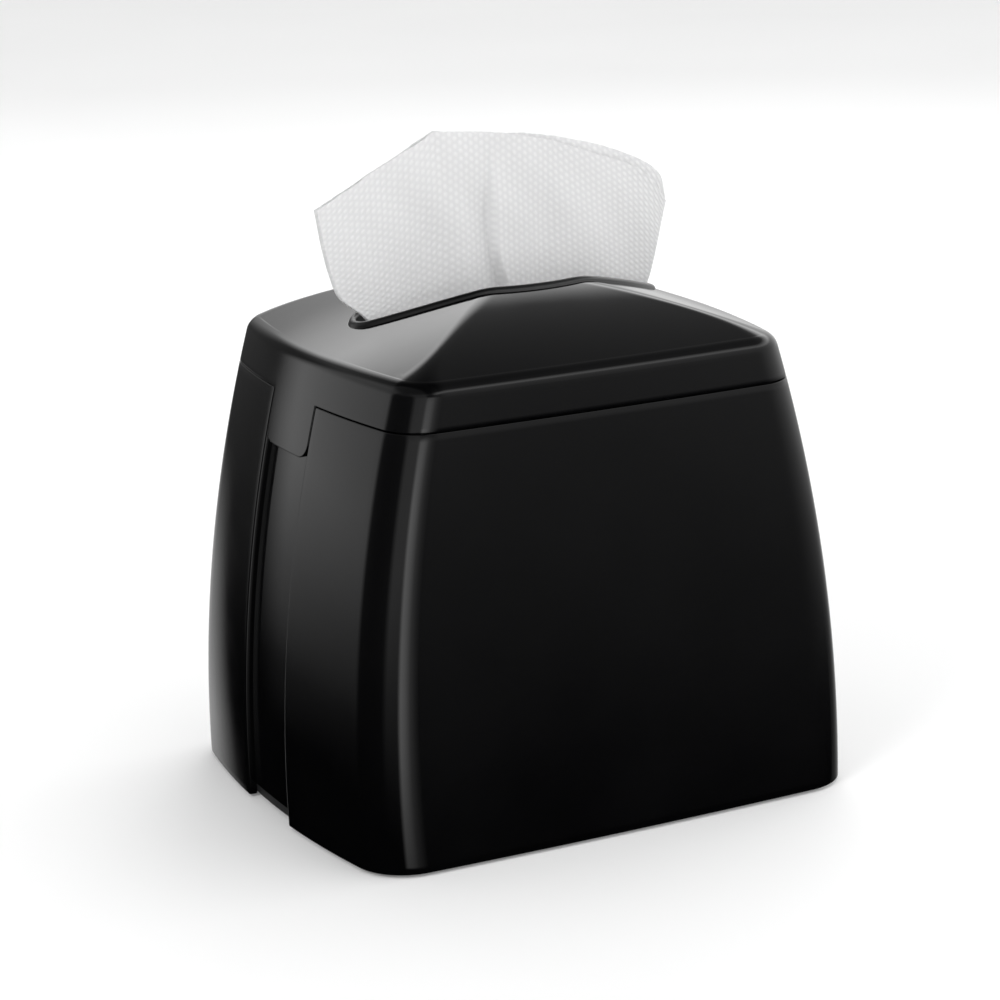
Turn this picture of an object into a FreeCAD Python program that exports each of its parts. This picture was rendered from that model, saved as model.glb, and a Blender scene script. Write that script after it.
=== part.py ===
"""Table-top napkin dispenser.

A tapered casing of two moulded shells stands on a base plate with rubber feet.  A lift plate
slides on four rods, pushed up by four springs, and presses an interfolded stack of napkins
under a lift-off lid, whose mouth hands out one napkin at a time.

Millimetres, +Z up.  X runs along the wide faces, -Y is the front.  The origin is on the
surface that the dispenser stands on, under the middle of the casing.
"""
import FreeCAD
import Part
import Sketcher

import math
import os
import re

DIMENSIONS = [
    # the tapered casing: corner to corner sizes of the outside, without the bow of its sides
    ("casing_bottom", 1.2, "lower edge of the shells, held off the table by the feet"),
    ("seam_height", 158.7, "top of the shells, where the lid begins"),
    ("base_half_width", 100.7, "half width at the bottom"),
    ("seam_half_width", 82.2, "half width at the seam"),
    ("barrel_bulge", 5.8, "how far the sides swell at mid height"),
    ("base_half_depth", 88.2, "half depth at the bottom"),
    ("seam_half_depth", 78.8, "half depth at the seam"),
    ("base_corner_radius", 20.7, "upright corners at the bottom"),
    ("seam_corner_radius", 16.0, "upright corners at the seam"),
    ("face_bow", 1.2, "plan bow of the front and the rear"),
    ("side_bow", 5.6, "plan bow of the two sides"),
    ("wall", 2.4, "moulded wall"),
    # the channel down each side, and the panel that closes it
    ("channel_half_width", 18.9, "half the gap between the shells at each side"),
    ("recess", 3.2, "how deep the side panel lies behind the shells"),
    ("panel_half_width", 26.0, "half the width of a side panel, behind the shells"),
    ("edge_flange", 2.2, "width of the shells' inturned edges along the channel"),
    ("rib_face", 78.0, "face of the side panels' stack ribs, from the middle"),
    ("rib_place", 15.0, "the ribs' distance from the middle of the panel"),
    ("rib_half_thickness", 1.0, "half a rib"),
    ("ledge_face", 77.8, "inner face of the panels' ledge"),
    ("ledge_half_width", 12.0, "half the ledge"),
    ("ledge_thickness", 6.0, "ledge under the top frame"),
    # the lid
    ("seam_gap", 0.4, "gap all round between the lid and the shells"),
    ("tongue_bottom", 139.5, "lower edge of the lid's side tongues"),
    ("tongue_radius", 6.0, "lower corners of the tongues"),
    ("rim_depth", 4.5, "locating rim below the seam"),
    ("rim_clearance", 0.35, "between the rim and the shells"),
    ("rim_thickness", 1.6, "locating rim"),
    ("rim_band", 2.4, "height of the band that carries the rim"),
    ("shoulder_height", 176.1, "where the rounded shoulder meets the roof"),
    ("shoulder_radius", 5.3, "rounded shoulder"),
    ("shoulder_angle", 70.0, "how far the shoulder turns, in degrees"),
    ("roof_rise", 21.7, "the roof's peak above the shoulder"),
    ("roof_power", 1.8, "how full the roof's curve is"),
    ("roof_side_inset", 5.5, "how much narrower than deep the roof is near its top"),
    ("roof_top_share", 0.16, "share of the roof's foot where the mouth leaves nothing"),
    ("roof_corner_radius", 2.5, "the hips"),
    ("roof_thickness", 2.6, "the roof, measured upright"),
    ("mouth_half_length", 60.5, "mouth"),
    ("mouth_half_width", 26.0, "mouth"),
    ("mouth_end_radius", 7.7, "round ends of the mouth"),
    ("lip_thickness", 1.8, "turned-down lip round the mouth"),
    ("lip_depth", 6.5, "the lip, measured upright"),
    # base plate, top frame and feet
    ("floor_low", 2.2, "underside of the base plate"),
    ("floor_high", 5.2, "top of the base plate"),
    ("frame_low", 149.5, "underside of the top frame"),
    ("frame_thickness", 2.6, "top frame"),
    ("lug_height", 3.0, "the shells' screw lugs"),
    ("lug_half_width", 7.0, "half a lug"),
    ("low_lug_x", 36.0, "lower lugs, from the middle"),
    ("low_lug_y", 76.0, "screws of the lower lugs"),
    ("low_lug_face", 70.0, "inner face of the lower lugs"),
    ("high_lug_x", 38.0, "upper lugs, from the middle"),
    ("high_lug_y", 70.0, "screws of the upper lugs"),
    ("high_lug_face", 64.0, "inner face of the upper lugs"),
    ("foot_radius", 8.0, "rubber foot"),
    ("foot_x", 76.0, "feet, from the middle"),
    ("foot_y", 62.0, "feet, from the middle"),
    ("foot_chamfer", 0.6, "lower edge of a foot"),
    ("foot_stem_radius", 3.0, "the foot's stem, pressed into the base plate"),
    # napkins and the plates that guide them
    ("napkin_half_width", 76.0, "half a folded napkin"),
    ("napkin_half_depth", 55.0, "half the folded depth"),
    ("stack_top", 172.2, "top of the stack, under the lid"),
    ("stack_height", 82.0, "stack that is loaded"),
    ("stack_clearance", 1.6, "between the stack and its guides"),
    ("guide_thickness", 1.4, "stack guides"),
    ("guide_half_width", 44.0, "half a stack guide"),
    ("guide_foot", 9.0, "the guides' feet"),
    # lift plate, rods and springs
    ("plate_thickness", 3.0, "lift plate"),
    ("plate_margin", 1.0, "how much smaller than the stack the plate is"),
    ("rod_x", 60.0, "rods, from the middle"),
    ("rod_y", 66.0, "rods, from the middle"),
    ("rod_radius", 3.0, "rod"),
    ("rod_chamfer", 0.5, "rod ends"),
    ("rod_bore", 8.0, "tapped hole in a rod's lower end"),
    ("bush_clearance", 0.08, "between a rod and its bush"),
    ("bush_radius", 4.2, "bush, inside its spring"),
    ("bush_flange_radius", 7.0, "flange under the plate"),
    ("bush_flange", 1.5, "flange under the plate"),
    ("bush_length", 12.0, "bush"),
    ("ear_radius", 9.0, "the plate's ears round the bushes"),
    ("cup_radius", 7.6, "spring cup"),
    ("cup_height", 3.2, "spring cup"),
    ("cup_floor", 1.2, "spring cup"),
    ("spring_radius", 5.2, "spring, to the middle of its wire"),
    ("wire_radius", 0.7, "spring wire"),
    ("spring_turns", 7.5, "turns"),
    # screws
    ("screw_radius", 1.5, "M3 screws"),
    ("screw_head_radius", 2.75, "pan heads"),
    ("screw_head", 1.7, "pan heads"),
    ("socket_radius", 1.2, "hexagon sockets"),
    ("socket_depth", 1.0, "hexagon sockets"),
    ("frame_screw_x", 80.5, "top frame screws over the ledges"),
    ("frame_screw_y", 7.0, "top frame screws over the ledges"),
    ("screw_grip", 4.6, "how far a screw reaches past the first part"),
    ("panel_screw_x", 91.0, "screws up into the side panels"),
    ("panel_screw_y", 9.0, "screws up into the side panels"),
    ("panel_foot", 14.0, "width of the panels' feet on the base plate"),
    ("panel_foot_height", 6.0, "height of the panels' feet"),
    # the napkin that stands in the mouth
    ("sheet_bottom", 174.2, "its lower end, inside the lid"),
    ("sheet_left", 75.5, "left corner, from the middle"),
    ("sheet_left_height", 226.0, "left corner"),
    ("sheet_peak", 27.5, "highest point, left of the middle"),
    ("sheet_top", 251.5, "highest point"),
    ("sheet_right_peak", 25.0, "where the top edge turns down on the right"),
    ("sheet_right_peak_height", 244.0, "where the top edge turns down on the right"),
    ("sheet_right", 69.0, "right corner, from the middle"),
    ("sheet_right_height", 222.0, "right corner"),
    ("sheet_foot", 54.0, "half its width in the mouth"),
    ("sheet_half_thickness", 4.0, "half the thickness of the gathered napkin"),
]
SECTION_COUNT = 4
ROOF_SECTIONS = 7

doc = FreeCAD.newDocument("napkin_dispenser")
sheet = doc.addObject("Spreadsheet::Sheet", "Dimensions")
for row, (alias, value, meaning) in enumerate(DIMENSIONS, start=1):
    sheet.set(f"A{row}", str(value))
    sheet.setAlias(f"A{row}", alias)
    sheet.set(f"B{row}", meaning)
doc.recompute()

nodes = {}


def size(alias):
    """The value of one driving dimension."""
    return float(sheet.get(alias))


def formula(text):
    """An expression in which every dimension's name points at the sheet."""
    aliases = {alias for alias, _, _ in DIMENSIONS}
    return re.sub(r"[a-z]\w+", lambda word: f"Dimensions.{word[0]}" if word[0] in aliases else word[0], text)


def bind(thing, expressions):
    """Bind properties of an object to expressions over the dimensions."""
    for path, text in expressions.items():
        thing.setExpression(path, formula(text))
    return thing


def place(thing, x, y, z):
    """Bind the object's place to three expressions."""
    return bind(thing, {"Placement.Base.x": x, "Placement.Base.y": y, "Placement.Base.z": z})


def node(name, thing):
    """Keep an object as the sub-part called name."""
    thing.Label = name
    nodes[name] = thing
    return thing


def box(name, low, high):
    """A box between two corners, each given as three expressions."""
    block = doc.addObject("Part::Box", name)
    spans = [f"({top}) - ({bottom})" for bottom, top in zip(low, high)]
    bind(block, dict(zip(("Length", "Width", "Height"), spans)))
    return place(block, *low)


def cylinder(name, radius, height, centre):
    """An upright cylinder that stands on centre."""
    post = doc.addObject("Part::Cylinder", name)
    bind(post, {"Radius": radius, "Height": height})
    return place(post, *centre)


def cut(name, base, tool):
    """base without tool."""
    result = doc.addObject("Part::Cut", name)
    result.Base = base
    result.Tool = tool
    return result


def common(name, *shapes):
    """What all the shapes share."""
    result = doc.addObject("Part::MultiCommon", name)
    result.Shapes = list(shapes)
    return result


def fuse(name, *shapes):
    """All the shapes in one solid."""
    result = doc.addObject("Part::MultiFuse", name)
    result.Shapes = list(shapes)
    return result


def group(name, parts):
    """Separate solids that share one node."""
    result = doc.addObject("Part::Compound", name)
    result.Links = list(parts)
    return result


def arc(start, middle, end):
    """An edge through three points."""
    return Part.Arc(start, middle, end).toShape()


def bowed_outline(name, half_width, half_depth, radius, side_bow, face_bow, height):
    """A level rectangle with bowed sides and round corners: eight tangent arcs."""
    core_x = half_width - radius
    core_y = half_depth - radius
    side_turn = math.asin(core_y / ((core_y ** 2 + side_bow ** 2) / (2 * side_bow)))
    face_turn = math.asin(core_x / ((core_x ** 2 + face_bow ** 2) / (2 * face_bow)))

    def corner(sign_x, sign_y, angle):
        x = sign_x * (core_x + radius * math.cos(angle))
        y = sign_y * (core_y + radius * math.sin(angle))
        return FreeCAD.Vector(x, y, height)

    side_angle = side_turn
    face_angle = math.pi / 2 - face_turn
    middle_angle = (side_angle + face_angle) / 2
    side_x = core_x + side_bow + radius
    face_y = core_y + face_bow + radius
    edges = []
    for sign_x, sign_y in ((1, -1), (1, 1), (-1, 1), (-1, -1)):
        ends = [corner(sign_x, sign_y, angle) for angle in (face_angle, middle_angle, side_angle)]
        if sign_x * sign_y > 0:
            ends.reverse()
        edges.append(arc(*ends))
        if sign_x * sign_y < 0:
            middle = FreeCAD.Vector(sign_x * side_x, 0, height)
            edges.append(arc(ends[-1], middle, corner(sign_x, -sign_y, side_angle)))
        else:
            middle = FreeCAD.Vector(0, sign_y * face_y, height)
            edges.append(arc(ends[-1], middle, corner(-sign_x, sign_y, face_angle)))
    outline = doc.addObject("Part::Feature", name)
    outline.Shape = Part.Wire(edges)
    return outline


def loft(name, sections):
    """A smooth solid through a list of outlines."""
    solid = doc.addObject("Part::Loft", name)
    solid.Sections = sections
    solid.Solid = True
    solid.Ruled = False
    return solid


def casing_outline(name, height, offset):
    """The casing's level section, offset outwards."""
    share = (height - size("casing_bottom")) / (size("seam_height") - size("casing_bottom"))

    def taper(low, high):
        return size(low) + (size(high) - size(low)) * share

    swell = 4 * size("barrel_bulge") * share * (1 - share)
    half_width = taper("base_half_width", "seam_half_width") + swell
    half_depth = taper("base_half_depth", "seam_half_depth")
    radius = taper("base_corner_radius", "seam_corner_radius")
    return bowed_outline(name, half_width + offset, half_depth + offset, radius + offset,
                         size("side_bow"), size("face_bow"), height)


def casing_solid(name, offset, low, high):
    """The casing's volume between two heights, offset outwards."""
    heights = [low + (high - low) * step / (SECTION_COUNT - 1) for step in range(SECTION_COUNT)]
    return loft(name, [casing_outline(f"{name}_outline", height, offset) for height in heights])


def casing_ring(name, thickness, low, high, depth=0.0):
    """A wall of the given thickness, its outside depth behind the casing's."""
    outside = casing_solid(f"{name}_outside", -depth, low, high)
    inside = casing_solid(f"{name}_inside", -depth - thickness, low - 1, high + 1)
    return cut(name, outside, inside)


# ---------------------------------------------------------------- casing

bottom = size("casing_bottom")
seam = size("seam_height")
wall = size("wall")
recess = size("recess")
floor_top = size("floor_high")


def lug(name, x, face, height):
    """A screw lug behind a shell's wall, which is trimmed to the wall later."""
    low = (f"{x} - lug_half_width", "-base_half_depth", height)
    high = (f"{x} + lug_half_width", f"-{face}", f"{height} + lug_height")
    return box(name, low, high)


def shell(name, side):
    """The front shell for side -1, the rear one for side 1."""
    skin = casing_ring(f"{name}_wall", wall, bottom, seam)
    flange = casing_ring(f"{name}_flange_ring", recess, bottom, seam)
    flange_box = box(f"{name}_flange_box", ("-150", "-channel_half_width - edge_flange", "0"),
                     ("150", "-channel_half_width", "seam_height + 5"))
    edges = common(f"{name}_flange", flange, flange_box)
    lug_blocks = []
    for sign in ("-", ""):
        lug_blocks.append(lug(f"{name}_low_lug", f"{sign}low_lug_x", "low_lug_face", "floor_high"))
        lug_blocks.append(lug(f"{name}_high_lug", f"{sign}high_lug_x", "high_lug_face",
                              "frame_low - lug_height"))
    inside = casing_solid(f"{name}_room", -wall / 2, bottom, seam)
    lugs = common(f"{name}_lugs", fuse(f"{name}_lug_blocks", *lug_blocks), inside)
    front_half = box(f"{name}_half", ("-150", "-150", "0"), ("150", "-channel_half_width", "seam_height + 5"))
    face = common(f"{name}_face", skin, front_half)
    whole = fuse(f"{name}_whole", face, edges, lugs)
    holes = []
    for sign in ("-", ""):
        holes.append(cylinder(f"{name}_low_hole", "screw_radius", "lug_height + 2",
                              (f"{sign}low_lug_x", "-low_lug_y", "floor_high - 1")))
        holes.append(cylinder(f"{name}_high_hole", "screw_radius", "lug_height + 2",
                              (f"{sign}high_lug_x", "-high_lug_y", "frame_low - lug_height - 1")))
    drilled = cut(f"{name}_drilled", whole, fuse(f"{name}_holes", *holes))
    if side > 0:
        turned = doc.addObject("Part::Mirroring", f"{name}_mirror")
        turned.Source = drilled
        turned.Normal = FreeCAD.Vector(0, 1, 0)
        drilled = turned
    return node(name, drilled)


def side_panel(name, side):
    """The recessed panel of one side, with its stack ribs, its ledge and its foot."""
    skin = casing_ring(f"{name}_wall", wall, floor_top, seam, depth=recess)
    strip = box(f"{name}_strip",
                ("0", "-panel_half_width", "0"), ("150", "panel_half_width", "seam_height + 5"))
    panel = common(f"{name}_panel", skin, strip)
    blocks = []
    for sign in ("-", ""):
        rib_low = ("rib_face", f"{sign}rib_place - rib_half_thickness", "floor_high")
        rib_high = ("150", f"{sign}rib_place + rib_half_thickness", "frame_low")
        blocks.append(box(f"{name}_rib", rib_low, rib_high))
    blocks.append(box(f"{name}_ledge", ("ledge_face", "-ledge_half_width", "frame_low - ledge_thickness"),
                      ("150", "ledge_half_width", "frame_low")))
    blocks.append(box(f"{name}_foot", ("base_half_width - recess - panel_foot", "-rib_place", "floor_high"),
                      ("150", "rib_place", "floor_high + panel_foot_height")))
    room = casing_solid(f"{name}_room", -recess - wall / 2, floor_top, seam)
    stiffeners = common(f"{name}_stiffeners", fuse(f"{name}_blocks", *blocks), room)
    holes = []
    for sign in ("-", ""):
        holes.append(cylinder(f"{name}_top_hole", "screw_radius", "screw_grip + 1",
                              ("frame_screw_x", f"{sign}frame_screw_y", "frame_low - screw_grip")))
        holes.append(cylinder(f"{name}_foot_hole", "screw_radius", "screw_grip + 1",
                              ("panel_screw_x", f"{sign}panel_screw_y", "floor_high - 1")))
    drilled = cut(f"{name}_drilled", fuse(f"{name}_whole", panel, stiffeners), fuse(f"{name}_holes", *holes))
    if side < 0:
        turned = doc.addObject("Part::Mirroring", f"{name}_mirror")
        turned.Source = drilled
        turned.Normal = FreeCAD.Vector(1, 0, 0)
        drilled = turned
    return node(name, drilled)


def four_places(x, y):
    """The four places (+-x, +-y) with their names, as expressions."""
    return [(f"{end}_{hand}", sign_x + x, sign_y + y)
            for end, sign_y in (("front", "-"), ("rear", ""))
            for hand, sign_x in (("left", "-"), ("right", ""))]


def screw_holes(name, low, height, places):
    """Drills for a list of places."""
    return [cylinder(name, "screw_radius", height, (x, y, low)) for x, y in places]


LOW_LUG_PLACES = [(x, y) for _, x, y in four_places("low_lug_x", "low_lug_y")]
HIGH_LUG_PLACES = [(x, y) for _, x, y in four_places("high_lug_x", "high_lug_y")]
ROD_PLACES = four_places("rod_x", "rod_y")
FOOT_PLACES = four_places("foot_x", "foot_y")
LEDGE_PLACES = [(x, y) for _, x, y in four_places("frame_screw_x", "frame_screw_y")]
PANEL_PLACES = [(x, y) for _, x, y in four_places("panel_screw_x", "panel_screw_y")]


def base_plate():
    """The floor of the casing, with holes for the screws, the rods' screws and the feet."""
    slab = casing_solid("floor_slab", -recess, size("floor_low"), floor_top)
    screws = LOW_LUG_PLACES + PANEL_PLACES + [(x, y) for _, x, y in ROD_PLACES]
    holes = screw_holes("floor_hole", "floor_low - 1", "floor_high - floor_low + 2", screws)
    holes += [cylinder("foot_hole", "foot_stem_radius", "floor_high - floor_low + 2", (x, y, "floor_low - 1"))
              for _, x, y in FOOT_PLACES]
    return node("base_plate", cut("floor_drilled", slab, fuse("floor_holes", *holes)))


def top_frame():
    """The ring that ties the shells, the panels and the rods together at the top."""
    low = size("frame_low")
    high = low + size("frame_thickness")
    outer = casing_solid("frame_outer", -wall, low, high)
    waist = casing_solid("frame_waist", -recess - wall, low, high)
    middle = box("frame_middle", ("-150", "-panel_half_width", "0"), ("150", "panel_half_width", "200"))
    plate = fuse("frame_plate", cut("frame_ends", outer, middle), waist)
    reach_x = "napkin_half_width + stack_clearance"
    reach_y = "napkin_half_depth + stack_clearance"
    window = box("frame_window", (f"-({reach_x})", f"-({reach_y})", "0"), (reach_x, reach_y, "200"))
    holes = screw_holes("frame_hole", "frame_low - 1", "frame_thickness + 2", HIGH_LUG_PLACES + LEDGE_PLACES)
    holes += [cylinder("frame_rod_hole", "rod_radius", "frame_thickness + 2", (x, y, "frame_low - 1"))
              for _, x, y in ROD_PLACES]
    return node("top_frame", cut("frame_drilled", plate, fuse("frame_openings", window, *holes)))


def turned_body(name, profile, x, y, z):
    """A turned piece: profile lists (radius, height) as expressions, going round the section."""
    body = doc.addObject("PartDesign::Body", name)
    sketch = body.newObject("Sketcher::SketchObject", f"{name}_section")
    plane = next(item for item in body.Origin.OriginFeatures if item.Role == "XZ_Plane")
    sketch.AttachmentSupport = [(plane, "")]
    sketch.MapMode = "FlatFace"
    values = [tuple(number(text) for text in point) for point in profile]
    count = len(values)
    for index in range(count):
        start = FreeCAD.Vector(*values[index], 0)
        end = FreeCAD.Vector(*values[(index + 1) % count], 0)
        sketch.addGeometry(Part.LineSegment(start, end), False)
    for index in range(count):
        constrain(sketch, "Coincident", index, 2, (index + 1) % count, 1)
    for index, point in enumerate(profile):
        for kind, axis, text, value in (("DistanceX", -2, point[0], values[index][0]),
                                        ("DistanceY", -1, point[1], values[index][1])):
            if value == 0:
                constrain(sketch, "PointOnObject", index, 1, axis)
            else:
                added = constrain(sketch, kind, -1, 1, index, 1, value)
                sketch.setExpression(f"Constraints[{added}]", formula(text))
    turning = body.newObject("PartDesign::Revolution", f"{name}_turning")
    turning.Profile = sketch
    turning.ReferenceAxis = (sketch, ["V_Axis"])
    turning.Angle = 360
    return node(name, place(body, x, y, z))


def constrain(sketch, *terms):
    """Add one constraint and return its number."""
    return sketch.addConstraint(Sketcher.Constraint(*terms))


def number(text):
    """The value of an expression over the dimensions."""
    return float(sheet.evalExpression(formula(text)))


def rods():
    """Four rods, tapped at their lower ends for the screws."""
    length = "frame_low + frame_thickness - floor_high"
    profile = [("screw_radius", "0"), ("rod_radius", "0"), ("rod_radius", f"{length} - rod_chamfer"),
               ("rod_radius - rod_chamfer", length), ("0", length), ("0", "rod_bore"),
               ("screw_radius", "rod_bore")]
    for where, x, y in ROD_PLACES:
        turned_body(f"guide_rod_{where}", profile, x, y, "floor_high")


def feet():
    """Four rubber feet, whose stems fill holes in the base plate."""
    depth = "floor_low"
    profile = [("0", "0"), ("foot_radius - foot_chamfer", "0"), ("foot_radius", "foot_chamfer"),
               ("foot_radius", depth), ("foot_stem_radius", depth), ("foot_stem_radius", "floor_high"),
               ("0", "floor_high")]
    for where, x, y in FOOT_PLACES:
        turned_body(f"rubber_foot_{where}", profile, x, y, "0")


def spring_cups():
    """Four cups that centre the springs on the base plate."""
    bore = "rod_radius"
    profile = [(bore, "0"), ("cup_radius", "0"), ("cup_radius", "cup_height"),
               ("cup_radius - cup_floor", "cup_height"), ("cup_radius - cup_floor", "cup_floor"),
               (bore, "cup_floor")]
    for where, x, y in ROD_PLACES:
        turned_body(f"spring_cup_{where}", profile, x, y, "floor_high")


def screw(name, x, y, head, length, up):
    """A pan-head screw with a hexagon socket; up says that the head is on top."""
    if up:
        shank_low, head_low = f"{head} - {length}", head
        socket_low = f"{head} + screw_head - socket_depth"
    else:
        shank_low, head_low = head, f"{head} - screw_head"
        socket_low = head_low
    shank = cylinder(f"{name}_shank", "screw_radius", length, (x, y, shank_low))
    cap = cylinder(f"{name}_head", "screw_head_radius", "screw_head", (x, y, head_low))
    socket = doc.addObject("Part::Prism", f"{name}_socket")
    socket.Polygon = 6
    bind(socket, {"Circumradius": "socket_radius", "Height": "socket_depth"})
    place(socket, x, y, socket_low)
    return cut(name, fuse(f"{name}_blank", shank, cap), socket)


def screws(name, places, head, length, up):
    """A set of equal screws, each a solid of its own, in one node."""
    return node(name, group(f"{name}_set", [screw(f"{name}_one", x, y, head, length, up) for x, y in places]))


def stack_guide(name, sign):
    """An upright plate that keeps the stack's long edge in line, with a foot turned outwards."""
    near = "napkin_half_depth + stack_clearance"
    far = f"{near} + guide_thickness"
    spans = {"upright": (near, far, "frame_low"),
             "foot": (near, f"{near} + guide_foot", "floor_high + guide_thickness")}
    pieces = []
    for part, (start, end, top) in spans.items():
        low, high = (f"-({end})", f"-({start})") if sign < 0 else (start, end)
        pieces.append(box(f"{name}_{part}", ("-guide_half_width", low, "floor_high"),
                          ("guide_half_width", high, top)))
    return node(name, fuse(f"{name}_whole", *pieces))


# ---------------------------------------------------------------- lift plate

PLATE_TOP = "stack_top - stack_height"
PLATE_LOW = "stack_top - stack_height - plate_thickness"


def lift_plate():
    """The plate under the stack, with four ears that carry the bushes."""
    reach_x = "napkin_half_width - plate_margin"
    reach_y = "napkin_half_depth - plate_margin"
    pieces = [box("plate_field",
                  (f"-({reach_x})", f"-({reach_y})", PLATE_LOW), (reach_x, reach_y, PLATE_TOP))]
    for sign in ("-", ""):
        pieces.append(box("plate_arm", (f"{sign}rod_x - ear_radius", "-rod_y", PLATE_LOW),
                          (f"{sign}rod_x + ear_radius", "rod_y", PLATE_TOP)))
    pieces += [cylinder("plate_ear", "ear_radius", "plate_thickness", (x, y, PLATE_LOW))
               for _, x, y in ROD_PLACES]
    holes = [cylinder("plate_hole", "bush_radius", "plate_thickness + 2", (x, y, f"{PLATE_LOW} - 1"))
             for _, x, y in ROD_PLACES]
    return node("lift_plate", cut("plate_drilled", fuse("plate_whole", *pieces), fuse("plate_holes", *holes)))


def bushes():
    """Four flanged bushes, pressed into the lift plate's ears."""
    bore = "rod_radius + bush_clearance"
    seat = "bush_length - plate_thickness"
    profile = [(bore, "0"), ("bush_radius", "0"), ("bush_radius", f"{seat} - bush_flange"),
               ("bush_flange_radius", f"{seat} - bush_flange"), ("bush_flange_radius", seat),
               ("bush_radius", seat), ("bush_radius", "bush_length"), (bore, "bush_length")]
    for where, x, y in ROD_PLACES:
        turned_body(f"guide_bush_{where}", profile, x, y, f"{PLATE_TOP} - bush_length")


def lift_spring(where, x, y):
    """A compression spring round a rod, from its cup to the bush's flange."""
    low = "floor_high + cup_floor + wire_radius"
    height = f"{PLATE_LOW} - bush_flange - floor_high - cup_floor - 2 * wire_radius"
    helix = doc.addObject("Part::Helix", f"spring_line_{where}")
    bind(helix, {"Radius": "spring_radius", "Height": height, "Pitch": f"({height}) / spring_turns"})
    helix.SegmentLength = 1
    place(helix, x, y, low)
    wire = doc.addObject("Part::Circle", f"spring_wire_{where}")
    bind(wire, {"Radius": "wire_radius"})
    place(wire, f"{x} + spring_radius", y, low)
    wire.Placement.Rotation = FreeCAD.Rotation(FreeCAD.Vector(1, 0, 0), 90)
    sweep = doc.addObject("Part::Sweep", f"spring_sweep_{where}")
    sweep.Sections = [wire]
    sweep.Spine = helix
    sweep.Solid = True
    sweep.Frenet = True
    return node(f"lift_spring_{where}", sweep)


def napkin_stack():
    """The interfolded stack that is loaded."""
    return node("napkin_stack", box("stack", ("-napkin_half_width", "-napkin_half_depth", PLATE_TOP),
                                    ("napkin_half_width", "napkin_half_depth", "stack_top")))


# ---------------------------------------------------------------- lid

def roof_solid(name, drop):
    """The hipped roof above the shoulder, lowered by drop."""
    foot = size("shoulder_height")
    turn = math.radians(size("shoulder_angle"))
    inset = size("shoulder_radius") * (1 - math.cos(turn))
    share = (foot - size("casing_bottom")) / (size("seam_height") - size("casing_bottom"))
    foot_depth = size("base_half_depth") + (size("seam_half_depth") - size("base_half_depth")) * share - inset
    swell = 4 * size("barrel_bulge") * share * (1 - share)
    foot_width = size("base_half_width") + (size("seam_half_width") - size("base_half_width")) * share
    foot_width += swell - inset
    foot_radius = size("base_corner_radius")
    foot_radius += (size("seam_corner_radius") - size("base_corner_radius")) * share - inset
    sections = []
    for step in range(ROOF_SECTIONS):
        part = 1 - (1 - size("roof_top_share")) * step / (ROOF_SECTIONS - 1)
        height = foot + size("roof_rise") * (1 - part ** size("roof_power")) - drop
        half_depth = foot_depth * part
        half_width = foot_width * part - size("roof_side_inset") * (1 - part ** 4)
        radius = size("roof_corner_radius") + (foot_radius - size("roof_corner_radius")) * part ** 8
        radius = min(radius, half_depth / 3, half_width / 3)
        sections.append(bowed_outline(f"{name}_outline", half_width, half_depth, radius,
                                      size("side_bow") * part, size("face_bow") * part, height))
    return loft(name, sections)


def mouth_prism(name, offset):
    """An upright prism with the mouth's outline: two long arcs and two round ends."""
    length = size("mouth_half_length") + offset
    width = size("mouth_half_width") + offset
    end = size("mouth_end_radius") + offset
    long_centre = ((length - end) ** 2 - (width - end) ** 2) / (2 * (width - end))
    turn = math.atan2(length - end, long_centre)
    joint_x = length - end + end * math.sin(turn)
    joint_y = end * math.cos(turn)
    corners = [FreeCAD.Vector(joint_x, -joint_y, 0), FreeCAD.Vector(joint_x, joint_y, 0),
               FreeCAD.Vector(-joint_x, joint_y, 0), FreeCAD.Vector(-joint_x, -joint_y, 0)]
    edges = [arc(corners[0], FreeCAD.Vector(length, 0, 0), corners[1]),
             arc(corners[1], FreeCAD.Vector(0, width, 0), corners[2]),
             arc(corners[2], FreeCAD.Vector(-length, 0, 0), corners[3]),
             arc(corners[3], FreeCAD.Vector(0, -width, 0), corners[0])]
    outline = doc.addObject("Part::Feature", f"{name}_outline")
    outline.Shape = Part.Wire(edges)
    prism = doc.addObject("Part::Extrusion", name)
    prism.Base = outline
    prism.Dir = FreeCAD.Vector(0, 0, 1)
    prism.Solid = True
    prism.LengthFwd = 300
    return prism


def lid_body():
    """The lid's skirt and rounded shoulder, solid."""
    turn = math.radians(size("shoulder_angle"))
    skirt_top = size("shoulder_height") - size("shoulder_radius") * math.sin(turn)
    low = seam + size("seam_gap")
    levels = [(low, 0.0), ((low + skirt_top) / 2, 0.0), (skirt_top, 0.0)]
    for step in (1, 2, 3):
        part_turn = turn * step / 3
        levels.append((skirt_top + size("shoulder_radius") * math.sin(part_turn),
                       -size("shoulder_radius") * (1 - math.cos(part_turn))))
    skirt = loft("lid_skirt",
                 [casing_outline("lid_skirt_outline", height, offset) for height, offset in levels[:3]])
    shoulder = loft("lid_shoulder",
                    [casing_outline("lid_shoulder_outline", height, offset) for height, offset in levels[2:]])
    return skirt, shoulder


def lid_rim():
    """The band inside the skirt and the locating rim that hangs from it, open at the tongues."""
    band_low = seam + size("seam_gap")
    band = casing_ring("rim_band_ring", wall + size("rim_clearance") + size("rim_thickness"), band_low,
                       band_low + size("rim_band"))
    rim = casing_ring("rim_ring", size("rim_thickness"), seam - size("rim_depth"), band_low + 1,
                      depth=wall + size("rim_clearance"))
    gap = box("rim_gap",
              ("-150", "-panel_half_width - 1", "0"), ("150", "panel_half_width + 1", "seam_height + 5"))
    return band, cut("rim_open", rim, gap)


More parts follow.
